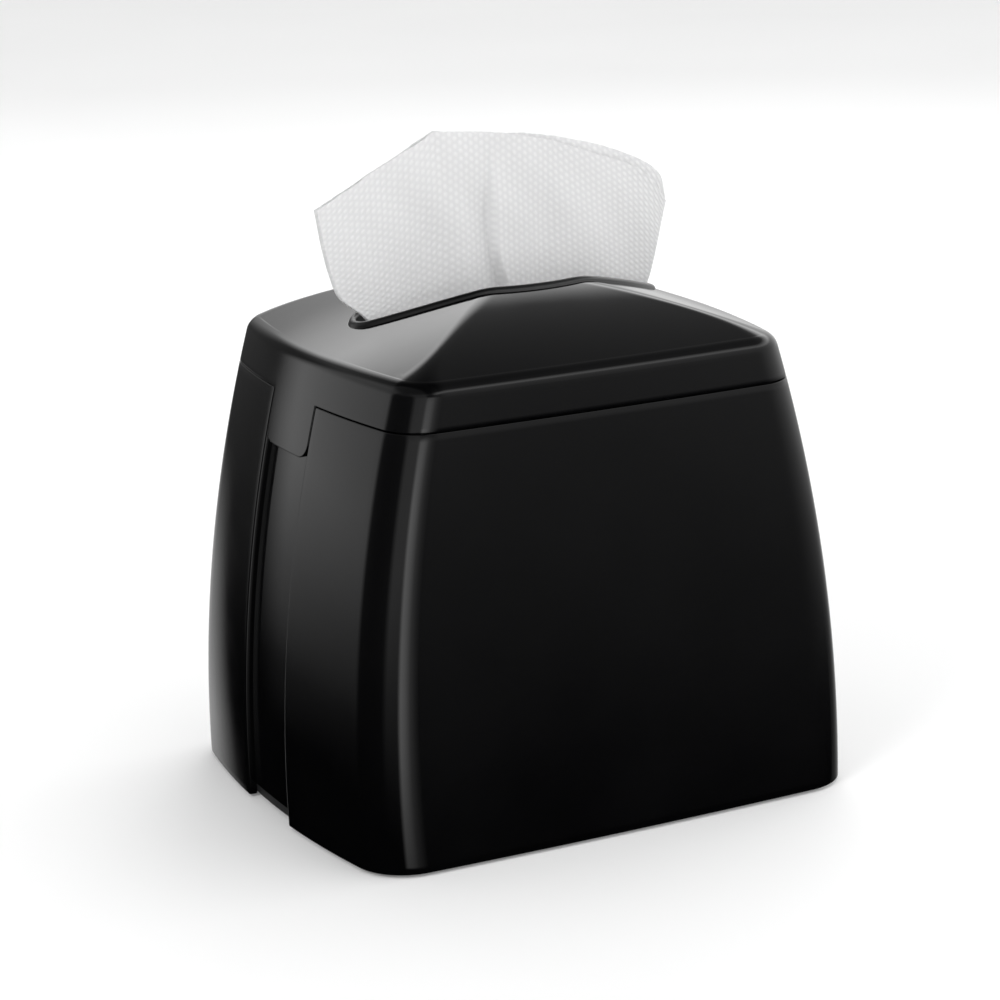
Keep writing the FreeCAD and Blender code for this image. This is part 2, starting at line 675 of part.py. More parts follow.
def tongue(side):
    """The tab that fills the top of one side channel, flush with the shells."""
    name = f"tongue_{'left' if side < 0 else 'right'}"
    skin = casing_ring(f"{name}_ring", wall, size("tongue_bottom") - 2, seam + size("seam_gap") + 1)
    half = "channel_half_width - seam_gap"
    x_low, x_high = ("-150", "-20") if side < 0 else ("20", "150")
    upper = box(f"{name}_upper", (x_low, f"-({half})", "tongue_bottom + tongue_radius"),
                (x_high, half, "seam_height + seam_gap + 1"))
    lower = box(f"{name}_lower", (x_low, f"tongue_radius - ({half})", "tongue_bottom"),
                (x_high, f"{half} - tongue_radius", "seam_height"))
    rounds = []
    for sign in ("-", ""):
        corner = doc.addObject("Part::Cylinder", f"{name}_round")
        bind(corner, {"Radius": "tongue_radius", "Height": f"({x_high}) - ({x_low})"})
        place(corner, x_low, f"{sign}({half} - tongue_radius)", "tongue_bottom + tongue_radius")
        corner.Placement.Rotation = FreeCAD.Rotation(FreeCAD.Vector(0, 1, 0), 90)
        rounds.append(corner)
    return common(name, skin, fuse(f"{name}_shape", upper, lower, *rounds))


def lid_cover():
    """The lid: skirt, shoulder and roof as one shell, with its lip, rim and tongues."""
    skirt, shoulder = lid_body()
    roof = roof_solid("roof", 0.0)
    outer = fuse("lid_outer", skirt, shoulder, roof)
    ceiling = size("shoulder_height") - size("roof_thickness")
    room = casing_solid("lid_room", -wall, seam - 5, ceiling)
    void = fuse("lid_void", room, roof_solid("roof_void", size("roof_thickness")))
    hollow = cut("lid_hollow", outer, void)
    lip_band = cut("lip_band", roof_solid("lip_roof", 0.0), roof_solid("lip_room", size("lip_depth")))
    lip = common("mouth_lip", lip_band, mouth_prism("lip_prism", size("lip_thickness")))
    band, rim = lid_rim()
    whole = fuse("lid_whole", hollow, lip, band, rim, tongue(-1), tongue(1))
    return node("lid_cover", cut("lid_open", whole, mouth_prism("mouth", 0.0)))


def standing_napkin():
    """The napkin that stands in the mouth: a flat fan, as wide as the mouth at its foot."""
    outline = [("-sheet_foot", "sheet_bottom"), ("sheet_foot", "sheet_bottom"),
               ("sheet_right", "sheet_right_height"), ("sheet_right_peak", "sheet_right_peak_height"),
               ("-sheet_peak", "sheet_top"), ("-sheet_left", "sheet_left_height")]
    points = [FreeCAD.Vector(number(x), -size("sheet_half_thickness"), number(z)) for x, z in outline]
    edge = doc.addObject("Part::Feature", "sheet_outline")
    edge.Shape = Part.makePolygon(points + points[:1])
    fan = doc.addObject("Part::Extrusion", "sheet_fan")
    fan.Base = edge
    fan.Dir = FreeCAD.Vector(0, 1, 0)
    fan.Solid = True
    bind(fan, {"LengthFwd": "2 * sheet_half_thickness"})
    return node("standing_napkin", fan)


shell("front_shell", -1)
shell("rear_shell", 1)
side_panel("left_side_panel", -1)
side_panel("right_side_panel", 1)
base_plate()
top_frame()
rods()
feet()
spring_cups()
stack_guide("front_stack_guide", -1)
stack_guide("rear_stack_guide", 1)
screws("shell_base_screws", LOW_LUG_PLACES, "floor_low", "floor_high - floor_low + lug_height", False)
screws("panel_base_screws", PANEL_PLACES, "floor_low", "floor_high - floor_low + screw_grip", False)
screws("rod_screws", [(x, y) for _, x, y in ROD_PLACES], "floor_low",
       "floor_high - floor_low + screw_grip", False)
screws("frame_screws", HIGH_LUG_PLACES + LEDGE_PLACES, "frame_low + frame_thickness",
       "frame_thickness + lug_height", True)
lift_plate()
bushes()
for spring_name, spring_x, spring_y in ROD_PLACES:
    lift_spring(spring_name, spring_x, spring_y)
napkin_stack()
lid_cover()
standing_napkin()
doc.recompute()

for item in doc.Objects:
    if "Invalid" in item.State or "Error" in item.State:
        raise RuntimeError(f"{item.Label} failed: {item.State}")
for name, item in nodes.items():
    shape = item.Shape
    if shape.isNull() or not shape.isValid() or shape.Volume <= 0 or not shape.Solids:
        raise RuntimeError(f"{name} is not a valid solid")
    print(f"{name}: {len(shape.Solids)} solid(s), {shape.Volume / 1000:.2f} cm3")

os.makedirs("parts", exist_ok=True)
for name, item in nodes.items():
    item.Shape.exportStep(os.path.join("parts", f"{name}.step"))
print(f"{len(nodes)} nodes")
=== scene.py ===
"""Napkin dispenser: the visible surfaces, lights and camera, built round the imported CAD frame.

The outer mouldings, the springs and the napkins are modelled here and stand for their CAD
nodes.  Plates, rods, bushes, cups, feet and screws are the CAD nodes themselves, with better
materials.  Shapes are worked out in millimetres and written as metres.
"""

import math

import bmesh
import bpy
import numpy as np
from mathutils import Matrix, Vector


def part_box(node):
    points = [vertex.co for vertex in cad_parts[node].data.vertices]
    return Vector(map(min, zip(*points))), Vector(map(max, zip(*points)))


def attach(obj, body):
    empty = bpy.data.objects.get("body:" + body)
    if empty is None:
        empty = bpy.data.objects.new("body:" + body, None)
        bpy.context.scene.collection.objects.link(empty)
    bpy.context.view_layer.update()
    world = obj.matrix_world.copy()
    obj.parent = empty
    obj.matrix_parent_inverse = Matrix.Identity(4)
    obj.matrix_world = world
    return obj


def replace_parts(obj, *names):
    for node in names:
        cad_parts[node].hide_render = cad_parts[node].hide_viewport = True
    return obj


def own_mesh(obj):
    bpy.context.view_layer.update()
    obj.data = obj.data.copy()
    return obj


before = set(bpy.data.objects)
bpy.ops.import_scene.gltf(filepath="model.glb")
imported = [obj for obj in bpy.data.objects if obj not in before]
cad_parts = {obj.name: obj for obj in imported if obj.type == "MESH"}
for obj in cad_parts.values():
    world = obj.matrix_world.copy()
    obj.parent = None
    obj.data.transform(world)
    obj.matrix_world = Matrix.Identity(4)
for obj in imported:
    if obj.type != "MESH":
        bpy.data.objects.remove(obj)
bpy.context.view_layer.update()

MM = 0.001


def box_mm(name):
    """The lowest and highest corner of a CAD node, in millimetres."""
    low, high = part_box(name)
    return np.array(low) / MM, np.array(high) / MM


SHELL_LOW, SHELL_HIGH = box_mm("front_shell")
PANEL_LOW, PANEL_HIGH = box_mm("right_side_panel")
STACK_LOW, STACK_HIGH = box_mm("napkin_stack")
BOTTOM = SHELL_LOW[2]
SEAM = SHELL_HIGH[2]

# the tapered casing, in millimetres: its half sizes without the bow of its sides
BASE_HALF_WIDTH = 100.7
SEAM_HALF_WIDTH = 82.2
BARREL_BULGE = 5.8
BASE_HALF_DEPTH = 88.2
SEAM_HALF_DEPTH = 78.8
BASE_CORNER = 20.7
SEAM_CORNER = 16.0
FACE_BOW = 1.2
SIDE_BOW = 5.6
WALL = 2.4
CHANNEL = 18.9
RECESS = 3.2
FLANGE = 2.2
SEAM_GAP = 0.4

# the lid, in millimetres
TONGUE_BOTTOM = 139.5
TONGUE_CORNER = 6.0
TONGUE_HALF = CHANNEL - SEAM_GAP
SHOULDER_HEIGHT = 176.1
SHOULDER_RADIUS = 5.3
SHOULDER_TURN = math.radians(70)
ROOF_RISE = 21.7
ROOF_POWER = 1.8
ROOF_SIDE_INSET = 5.5
ROOF_THICKNESS = 2.6
MOUTH_LENGTH = 60.5
MOUTH_WIDTH = 26.0
MOUTH_END = 7.7
LIP_WIDTH = 1.8
LIP_DEPTH = 6.5
RIM_DEPTH = 4.5
RIM_BAND = 2.4
RIM_CLEARANCE = 0.35
RIM_THICKNESS = 1.6
RIM_SINK = 0.2
RIM_LOW_EDGE = 0.4
RIM_TOP_EDGE = 0.1
RIM_LEVELS = 8

# edges of the mouldings that turn more than this stay sharp
SHARP_TURN = math.radians(50)

# how finely the mouldings are divided
SIDE_STEPS = 16
CORNER_STEPS = 18
FACE_STEPS = 44
EDGE_STEPS = 4


# ---------------------------------------------------------------- meshes

def mesh_object(name, points, faces, sharp=35.0):
    """A smooth-shaded mesh from points in millimetres, with edges sharper than sharp kept sharp."""
    mesh = bpy.data.meshes.new(name)
    mesh.from_pydata((np.asarray(points) * MM).tolist(), [], [tuple(map(int, face)) for face in faces])
    mesh.validate()
    mesh.shade_smooth()
    mesh.set_sharp_from_angle(angle=math.radians(sharp))
    thing = bpy.data.objects.new(name, mesh)
    bpy.context.scene.collection.objects.link(thing)
    return thing


def strip_faces(rows, closed_columns=False):
    """Quads over a grid of point numbers, rows by columns."""
    faces = []
    column_count = rows.shape[1]
    for below, above in zip(rows[:-1], rows[1:]):
        for column in range(column_count if closed_columns else column_count - 1):
            following = (column + 1) % column_count
            faces.append((below[column], below[following], above[following], above[column]))
    return faces


def outward(thing):
    """Turn every face of a closed mesh outwards."""
    work = bmesh.new()
    work.from_mesh(thing.data)
    bmesh.ops.remove_doubles(work, verts=work.verts, dist=1e-7)
    bmesh.ops.recalc_face_normals(work, faces=work.faces)
    work.to_mesh(thing.data)
    work.free()
    thing.data.shade_smooth()
    return thing


# ---------------------------------------------------------------- the casing's outline

class Plan:
    """The casing's level section at one height: bowed sides and round corners."""

    def __init__(self, height, offset=0.0):
        share = (height - BOTTOM) / (SEAM - BOTTOM)
        swell = 4 * BARREL_BULGE * share * (1 - share)
        half_width = BASE_HALF_WIDTH + (SEAM_HALF_WIDTH - BASE_HALF_WIDTH) * share + swell
        half_depth = BASE_HALF_DEPTH + (SEAM_HALF_DEPTH - BASE_HALF_DEPTH) * share
        radius = BASE_CORNER + (SEAM_CORNER - BASE_CORNER) * share
        self.core_x = half_width - radius
        self.core_y = half_depth - radius
        self.radius = radius + offset
        side = (self.core_y ** 2 + SIDE_BOW ** 2) / (2 * SIDE_BOW)
        face = (self.core_x ** 2 + FACE_BOW ** 2) / (2 * FACE_BOW)
        self.side_turn = math.asin(self.core_y / side)
        self.face_turn = math.asin(self.core_x / face)
        self.side_radius = side + self.radius
        self.side_centre = self.core_x + SIDE_BOW - side
        self.face_radius = face + self.radius
        self.face_centre = self.core_y + FACE_BOW - face

    def side_x(self, y):
        return self.side_centre + np.sqrt(self.side_radius ** 2 - np.asarray(y) ** 2)

    def quarter(self, lead):
        """Points (x, y > 0) from the side at y = lead[0], through lead, round to x = 0."""
        side_end = self.core_y + self.radius * math.sin(self.side_turn)
        side_ys = np.concatenate([lead, np.linspace(lead[-1], side_end, SIDE_STEPS + 1)[1:]])
        side = np.column_stack([self.side_x(side_ys), side_ys])
        turns = np.linspace(self.side_turn, math.pi / 2 - self.face_turn, CORNER_STEPS + 1)[1:]
        corner = np.column_stack([self.core_x + self.radius * np.cos(turns),
                                  self.core_y + self.radius * np.sin(turns)])
        face_xs = corner[-1, 0] * (1 - np.linspace(0, 1, FACE_STEPS + 1)[1:])
        face = np.column_stack([face_xs, self.face_centre + np.sqrt(self.face_radius ** 2 - face_xs ** 2)])
        return np.vstack([side, corner, face])


def front_path(height, offset, lead):
    """The front half of the outline, from the right channel round to the left one."""
    right = Plan(height, offset).quarter(lead) * (1, -1)
    return np.vstack([right, right[-2::-1] * (-1, 1)])


def whole_loop(height, offset, lead):
    """The whole outline, from the middle of the right side round the front."""
    front = front_path(height, offset, lead)
    return np.vstack([front, front[-2:0:-1] * (1, -1)])


def round_edge(steps, radius):
    """(distance from the edge, inset) pairs over a quarter-round edge, from the edge inwards."""
    turns = np.linspace(0, math.pi / 2, steps + 1)
    return [(radius * (1 - math.cos(turn)), radius * (1 - math.sin(turn))) for turn in turns]


def rounded_heights(low, high, count, low_edge, high_edge):
    """(height, inset) pairs up a wall whose two edges are rounded."""
    bottom = [(low + rise, inset) for rise, inset in round_edge(EDGE_STEPS, low_edge)]
    top = [(high - drop, inset) for drop, inset in reversed(round_edge(EDGE_STEPS, high_edge))]
    middle = np.linspace(bottom[-1][0], top[0][0], count)[1:-1]
    return bottom + [(height, 0.0) for height in middle] + top


# ---------------------------------------------------------------- shells and panels

CHANNEL_EDGE = 0.9
FLANGE_LEAD = 0.5
FLANGE_STEP = 0.08
SHELL_FOOT_EDGE = 0.6
SHELL_TOP_EDGE = 0.25
PANEL_EDGE = 0.3
PANEL_COLUMNS = 41
WALL_LEVELS = 64


def shell_section(height, inset):
    """The front shell's level section: its outer path and, point for point, its inner one."""
    edge_x = float(Plan(height).side_x(CHANNEL))
    outer = front_path(height, 0.0, np.array([CHANNEL + CHANNEL_EDGE]))
    inner = front_path(height, -WALL, np.array([CHANNEL + FLANGE + FLANGE_LEAD]))
    turns = np.linspace(0, math.pi / 2, EDGE_STEPS + 2)[:-1]
    out_edge = [(edge_x - RECESS, -CHANNEL), (edge_x - RECESS / 2 - CHANNEL_EDGE / 2, -CHANNEL)]
    out_edge += [(edge_x - CHANNEL_EDGE * (1 - math.sin(turn)),
                  -CHANNEL - CHANNEL_EDGE * (1 - math.cos(turn))) for turn in turns]
    in_edge = [(edge_x - RECESS, -CHANNEL - FLANGE), (edge_x - (RECESS + WALL) / 2, -CHANNEL - FLANGE)]
    in_edge += [(edge_x - WALL, -CHANNEL - FLANGE - FLANGE_STEP * step) for step in range(len(turns))]
    flip = np.array((-1, 1))
    outer = np.vstack([out_edge, outer, np.array(out_edge)[::-1] * flip])
    inner = np.vstack([in_edge, inner, np.array(in_edge)[::-1] * flip])
    across = inner - outer
    across /= np.linalg.norm(across, axis=1)[:, None]
    outer = outer + across * inset
    inner = inner - across * inset
    level = np.full((len(outer), 1), height)
    return np.hstack([outer, level]), np.hstack([inner, level])


def band_mesh(name, sections):
    """A wall from its level sections: outer and inner paths with matching points."""
    count = len(sections[0][0])
    points = np.vstack([np.vstack([outer, inner]) for outer, inner in sections])
    numbers = np.arange(len(points)).reshape(len(sections), 2, count)
    outer, inner = numbers[:, 0], numbers[:, 1]
    faces = strip_faces(outer) + [face[::-1] for face in strip_faces(inner)]
    for end in (0, -1):
        faces += strip_faces(np.array([outer[end], inner[end]]))
    for column in (0, -1):
        faces += strip_faces(np.array([outer[:, column], inner[:, column]]))
    return outward(mesh_object(name, points, faces))


def shell(node, side):
    """One shell: the front one for side -1, its mirror image behind for side 1."""
    levels = rounded_heights(BOTTOM, SEAM, WALL_LEVELS, SHELL_FOOT_EDGE, SHELL_TOP_EDGE)
    sections = [shell_section(height, inset) for height, inset in levels]
    flip = np.array((1, -side, 1))
    sections = [(outer * flip, inner * flip) for outer, inner in sections]
    piece = band_mesh(f"{node}_moulding", sections)
    piece.data.set_sharp_from_angle(angle=SHARP_TURN)
    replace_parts(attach(piece, "casing"), node)
    return piece


def side_panel(node, side):
    """The recessed panel in one side channel."""
    half = PANEL_HIGH[1]
    ys = np.linspace(-half, half, PANEL_COLUMNS)
    levels = rounded_heights(PANEL_LOW[2], PANEL_HIGH[2], WALL_LEVELS, PANEL_EDGE, PANEL_EDGE)
    sections = []
    for height, inset in levels:
        paths = []
        for offset in (-RECESS - inset, -RECESS - WALL + inset):
            xs = Plan(height, offset).side_x(ys)
            paths.append(np.column_stack([side * xs, ys, np.full(len(ys), height)]))
        sections.append(tuple(paths))
    piece = band_mesh(f"{node}_moulding", sections)
    piece.data.set_sharp_from_angle(angle=SHARP_TURN)
    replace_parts(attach(piece, "casing"), node)
    return piece


# ---------------------------------------------------------------- lid

LID_BOTTOM = SEAM + SEAM_GAP
SKIRT_TOP = SHOULDER_HEIGHT - SHOULDER_RADIUS * math.sin(SHOULDER_TURN)
ROOF_FOOT = Plan(SHOULDER_HEIGHT, -SHOULDER_RADIUS * (1 - math.cos(SHOULDER_TURN)))
FOOT_DEPTH = ROOF_FOOT.core_y + ROOF_FOOT.radius
FOOT_WIDTH = ROOF_FOOT.core_x + ROOF_FOOT.radius
TONGUE_LEAD = TONGUE_HALF * np.array([0, .2, .4, .58, .72, .82, .89, .94, .97, .986, .995, 1.0])
EDGE_ROUND = 0.3
ROOF_CORNER = 1.8
HIP_FADE = 7.0
WIDEST_CORNER = 0.9
SKIRT_ROWS = 9
SHOULDER_ROWS = 26
ROOF_LEAD = (0.12, 0.35, 0.8)
ROOF_ROWS = 60
UNDER_ROWS = 12
INNER_SKIRT_ROWS = 5
SHARE_HALVINGS = 34
MOUTH_HALVINGS = 50
# the rolled lip, from the roof to its underside: (distance outside the mouth, rise above the roof)
LIP_PROFILE = [(3.3, 0), (3.15, -0.05), (3.05, 0.12), (2.96, 0.5), (2.75, 0.95), (2.38, 1.32),
               (1.9, 1.55), (1.32, 1.57), (0.8, 1.35), (0.36, 0.92), (0.1, 0.35), (0, -0.35),
               (0, -1.6), (0, -3.6), (0, -5.9), (0.2, -6.35), (0.9, -LIP_DEPTH), (1.6, -6.35),
               (LIP_WIDTH, -5.9), (LIP_WIDTH, -4), (LIP_WIDTH, -ROOF_THICKNESS)]
# the inside of the shoulder: (height, inset from the skirt's inner face)
UNDER_SHOULDER = [(173.9, 2.3), (173.2, 1.3), (172.2, 0.6), (171.0, 0.15)]


def roof_share(x, y):
    """How far out a point of the roof is: 1 at the roof's foot, less towards the middle."""
    x, y = np.abs(x), np.abs(y)
    near, far = np.full(x.shape, 0.02), np.full(x.shape, 1.1)
    for _ in range(SHARE_HALVINGS):
        share = (near + far) / 2
        radius = (ROOF_CORNER + (ROOF_FOOT.radius - ROOF_CORNER) * share ** 8
                  + HIP_FADE * np.maximum(1 - share, 0) ** 1.5)
        radius = np.minimum(radius, WIDEST_CORNER * FOOT_DEPTH * share)
        core_x = FOOT_WIDTH * share - ROOF_SIDE_INSET * (1 - share ** 4) - radius
        core_y = FOOT_DEPTH * share - radius
        side_bow = SIDE_BOW * share * (1 - np.minimum((y / np.maximum(core_y, 1)) ** 2, 1))
        face_bow = FACE_BOW * share * (1 - np.minimum((x / np.maximum(core_x, 1)) ** 2, 1))
        past_x, past_y = x - core_x - side_bow, y - core_y - face_bow
        outside = (np.hypot(np.maximum(past_x, 0), np.maximum(past_y, 0))
                   + np.minimum(np.maximum(past_x, past_y), 0))
        near = np.where(outside > radius, share, near)
        far = np.where(outside > radius, far, share)
    return (near + far) / 2


def roof_height(x, y):
    """The hipped roof: crisp hips at the corners that fade towards the mouth."""
    return SHOULDER_HEIGHT + ROOF_RISE * (1 - roof_share(x, y) ** ROOF_POWER)


# the mouth is two arcs that meet at round tips; these place one arc's centre and its end
LENS_LENGTH = MOUTH_LENGTH - MOUTH_END
LENS_WIDTH = MOUTH_WIDTH - MOUTH_END
LENS_CENTRE = (LENS_LENGTH ** 2 - LENS_WIDTH ** 2) / (2 * LENS_WIDTH)
LENS_TURN = math.atan2(LENS_LENGTH, LENS_CENTRE)
LENS_RADIUS = LENS_WIDTH + LENS_CENTRE


def mouth_distance(x, y):
    """The distance outside the mouth's edge, and the direction that it grows in."""
    sign_x, sign_y = np.where(x < 0, -1, 1), np.where(y < 0, -1, 1)
    x, y = np.abs(x), np.abs(y)
    on_arc = np.arctan2(x, y + LENS_CENTRE) <= LENS_TURN
    arc_x, arc_y = x, y + LENS_CENTRE
    arc_length = np.hypot(arc_x, arc_y)
    tip_x, tip_y = x - LENS_LENGTH, y
    tip_length = np.maximum(np.hypot(tip_x, tip_y), 1e-9)
    distance = np.where(on_arc, arc_length - LENS_RADIUS, tip_length) - MOUTH_END
    way = np.stack([np.where(on_arc, arc_x / arc_length, tip_x / tip_length) * sign_x,
                    np.where(on_arc, arc_y / arc_length, tip_y / tip_length) * sign_y], axis=-1)
    return distance, way


def mouth_loop(loop):
    """The mouth's point for each point of the casing's outline, and the outward directions."""
    aims = loop / (FOOT_WIDTH, FOOT_DEPTH) * (MOUTH_LENGTH, MOUTH_WIDTH)
    near, far = np.full(len(aims), 0.3), np.full(len(aims), 3.0)
    for _ in range(MOUTH_HALVINGS):
        middle = (near + far) / 2
        outside = mouth_distance(*(aims * middle[:, None]).T)[0] > 0
        far = np.where(outside, middle, far)
        near = np.where(outside, near, middle)
    edge = aims * near[:, None]
    return edge, mouth_distance(*edge.T)[1]


def edge_drop(distance):
    """How far a rounded edge falls back at a distance from it."""
    short = np.clip(EDGE_ROUND - distance, 0, EDGE_ROUND)
    return EDGE_ROUND - np.sqrt(EDGE_ROUND ** 2 - short ** 2)


def tongue_low(y):
    """The tongue's lower edge."""
    past = np.maximum(np.abs(y) - (TONGUE_HALF - TONGUE_CORNER), 0)
    return TONGUE_BOTTOM + TONGUE_CORNER - np.sqrt(np.maximum(TONGUE_CORNER ** 2 - past ** 2, 0))


def tongue_distance(y, z):
    """Distance from a point of the tongue to its edge."""
    side = TONGUE_HALF - abs(y)
    low = z - TONGUE_BOTTOM
    if side < TONGUE_CORNER and low < TONGUE_CORNER:
        return TONGUE_CORNER - math.hypot(TONGUE_CORNER - side, TONGUE_CORNER - low)
    return min(side, low)


def level_points(plan_points, heights):
    return np.column_stack([plan_points, np.broadcast_to(heights, len(plan_points))])


def lid_rows():
    """The lid's closed section as rows of points, each row going once round the lid."""
    lead = TONGUE_LEAD
    rows = []
    middle = whole_loop(LID_BOTTOM, 0.0, lead)
    in_tongue = (np.abs(middle[:, 1]) <= TONGUE_HALF + 1e-6)
    rises = [0.0] + [rise for rise, _ in round_edge(EDGE_STEPS, EDGE_ROUND)][1:]
    rises += list(np.linspace(rises[-1], SKIRT_TOP - LID_BOTTOM, SKIRT_ROWS)[1:])
    for rise in rises:
        height = LID_BOTTOM + rise
        flush = whole_loop(height, 0.0, lead)
        dropped = whole_loop(height, -float(edge_drop(rise)), lead)
        beside = np.hypot(np.maximum(TONGUE_HALF - np.abs(flush[:, 1]), 0), rise)
        tongue_x = np.sign(flush[:, 0]) * (np.abs(flush[:, 0]) - edge_drop(beside))
        flush = np.where(in_tongue[:, None], np.column_stack([tongue_x, flush[:, 1]]), dropped)
        rows.append(level_points(flush, height))
    for turn in np.linspace(0, SHOULDER_TURN, SHOULDER_ROWS)[1:]:
        inset = SHOULDER_RADIUS * (1 - math.cos(turn))
        height = SKIRT_TOP + SHOULDER_RADIUS * math.sin(turn)
        rows.append(level_points(whole_loop(height, -inset, lead), height))
    for further in ROOF_LEAD:
        loop = whole_loop(SHOULDER_HEIGHT, -inset - further, lead)
        rows.append(level_points(loop, roof_height(*loop.T)))
    start = rows[-1][:, :2]
    edge, way = mouth_loop(start)
    finish = edge + way * LIP_PROFILE[0][0]
    for step in range(1, ROOF_ROWS):
        loop = start + (finish - start) * step / ROOF_ROWS
        rows.append(level_points(loop, roof_height(*loop.T)))
    lip_rows = range(len(rows), len(rows) + len(LIP_PROFILE) - 1)
    for reach, rise in LIP_PROFILE:
        loop = edge + way * reach
        rows.append(level_points(loop, roof_height(*loop.T) + rise))
    for step in range(UNDER_ROWS + 1):
        loop = finish + (start - finish) * step / UNDER_ROWS
        rows.append(level_points(loop, roof_height(*loop.T) - ROOF_THICKNESS))
    for height, inset in UNDER_SHOULDER:
        rows.append(level_points(whole_loop(height, -WALL - inset, lead), height))
    for height in np.linspace(SKIRT_TOP - 1.5, LID_BOTTOM, INNER_SKIRT_ROWS):
        rows.append(level_points(whole_loop(height, -WALL, lead), height))
    return rows, lip_rows


def lid_mesh():
    """The lid with its two tongues, as one closed mesh."""
    rows, lip_rows = lid_rows()
    columns = len(rows[0])
    points = list(np.vstack(rows))
    numbers = np.arange(len(points)).reshape(len(rows), columns)
    faces = strip_faces(numbers, closed_columns=True)
    outer_low, inner_low = numbers[0], numbers[-1]
    ys = rows[0][:, 1]
    for side in (1, -1):
        chosen = [column for column in range(columns)
                  if abs(ys[column]) <= TONGUE_HALF + 1e-6 and side * rows[0][column, 0] > 0]
        chosen.sort(key=lambda column: ys[column])
        faces += tongue_faces(points, rows, chosen, side, outer_low, inner_low)
    for column in range(columns):
        following = (column + 1) % columns
        if abs(ys[column]) <= TONGUE_HALF + 1e-6 and abs(ys[following]) <= TONGUE_HALF + 1e-6:
            continue
        faces.append((outer_low[column], outer_low[following], inner_low[following], inner_low[column]))
    piece = mesh_object("lid_moulding", points, faces)
    lip_faces = range(lip_rows[0] * columns, (lip_rows[-1] + 1) * columns)
    for number in lip_faces:
        piece.data.polygons[number].material_index = 1
    outward(piece)
    piece.data.set_sharp_from_angle(angle=SHARP_TURN)
    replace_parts(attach(piece, "lid"), "lid_cover")
    return piece


def tongue_faces(points, rows, chosen, side, outer_low, inner_low):
    """Add one tongue's points below the skirt and return its faces."""
    shares = np.concatenate([[1.0], np.linspace(0.97, 0.06, 22), [0.045, 0.03, 0.018, 0.008, 0.0]])
    layers = {}
    for layer, depth in (("outer", 0.0), ("inner", WALL)):
        grid = [[int((outer_low if layer == "outer" else inner_low)[c]) for c in chosen]]
        for share in shares[1:]:
            line = []
            for column in chosen:
                y = rows[0][column, 1]
                low = float(tongue_low(y))
                height = low + (LID_BOTTOM - low) * share
                drop = 0.0
                if layer == "outer":
                    drop = float(edge_drop(max(tongue_distance(y, height), 0)))
                x = float(Plan(height, 0.0).side_x(y)) - depth - drop
                line.append(len(points))
                points.append(np.array((side * x, y, height)))
            grid.append(line)
        layers[layer] = np.array(grid)
    outer, inner = layers["outer"], layers["inner"]
    faces = strip_faces(outer) + strip_faces(inner)
    faces += strip_faces(np.array([outer[-1], inner[-1]]))
    for column in (0, -1):
        faces += strip_faces(np.array([outer[:, column], inner[:, column]]))
    return faces


def lid_rim():
    """The locating rim inside the lid, open where the tongues are."""
    pieces = []
    for name, flip in (("lid_rim_front", 1), ("lid_rim_rear", -1)):
        sections = []
        for height, inset in rounded_heights(SEAM - RIM_DEPTH, LID_BOTTOM + RIM_BAND, RIM_LEVELS,
                                             RIM_LOW_EDGE, RIM_TOP_EDGE):
            near = WALL + RIM_CLEARANCE if height < SEAM else WALL - RIM_SINK
            paths = []
            for offset in (-near - inset, -WALL - RIM_CLEARANCE - RIM_THICKNESS + inset):
                path = front_path(height, offset, np.array([PANEL_HIGH[1] + 1]))
                paths.append(np.column_stack([path * (1, flip), np.full(len(path), height)]))
            sections.append(tuple(paths))
        piece = band_mesh(name, sections)
        piece.data.set_sharp_from_angle(angle=SHARP_TURN)
        pieces.append(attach(piece, "lid"))
    return pieces


# ---------------------------------------------------------------- napkins

# the standing fan's outline, in millimetres: (x, z) points up its sides and along its top
FAN_FOOT = 174.6
FAN_LEFT = [(-52, FAN_FOOT), (-57.5, 184.5), (-66.5, 192.5), (-70, 201), (-72.6, 212), (-75.2, 226.4)]
FAN_RIGHT = [(52, FAN_FOOT), (60, 186), (68.6, 217.5)]
FAN_PEAK = (-27.6, 251.2)
BACK_TOP = [FAN_PEAK, (-2.5, 248.6), (20.9, 245.2), (43.3, 239), (58.8, 232.1), (66.3, 226), (68.6, 217.5)]
FRONT_TOP = [FAN_PEAK, (-2.5, 248.4), (17, 244.6), (33, 238.6), (52.3, 231.6), (62, 224.5), (67.9, 216.3)]
NAPKIN_SEED = 7
PAPER = 0.35
FAN_COLUMNS = 206
FAN_ROWS = 118
LEAF_GAP = 0.9
BACK_LEAF_DEPTH = 0.2
FRONT_LEAF_DEPTH = -1.9

# the pleat near the middle: its place, depth, how far its foot runs right, and its two sides' widths
PLEAT_X = -4.6
PLEAT_DEPTH = 3.6
PLEAT_RUN = 5
PLEAT_LEFT = 8.5
PLEAT_RIGHT = 9.0
PLEAT_STEP = (-1.8, 0.9)
# the soft waves: (depth, middle, lean, width, whether it ends low down)
SOFT_WAVES = [(2.2, -31, 0, 13, True), (-1.6, -17, 0, 6, True), (1.4, 16, 0.1, 5, False),
              (-1.2, 34, 0, 12, True)]
# the crease under the peak, and how fast the fan falls back beyond it and towards its right
CREASE_X = -27.6
CREASE_TOP = 251
CREASE_LEAN = 0.12
CREASE_WIDTH = 3.2
FALL_BACK = 0.05
FALL_START = 24
RELIEF = 0.9
# the torn top edge: widths of its three wobbles, in columns, and their sizes
RAGGED_WIDTHS = (3, 9, 25)
RAGGED_SHARES = (0.05, 0.09, 0.12)


def smooth_step(value, start, end):
    share = np.clip((value - start) / (end - start), 0, 1)
    return share * share * (3 - 2 * share)


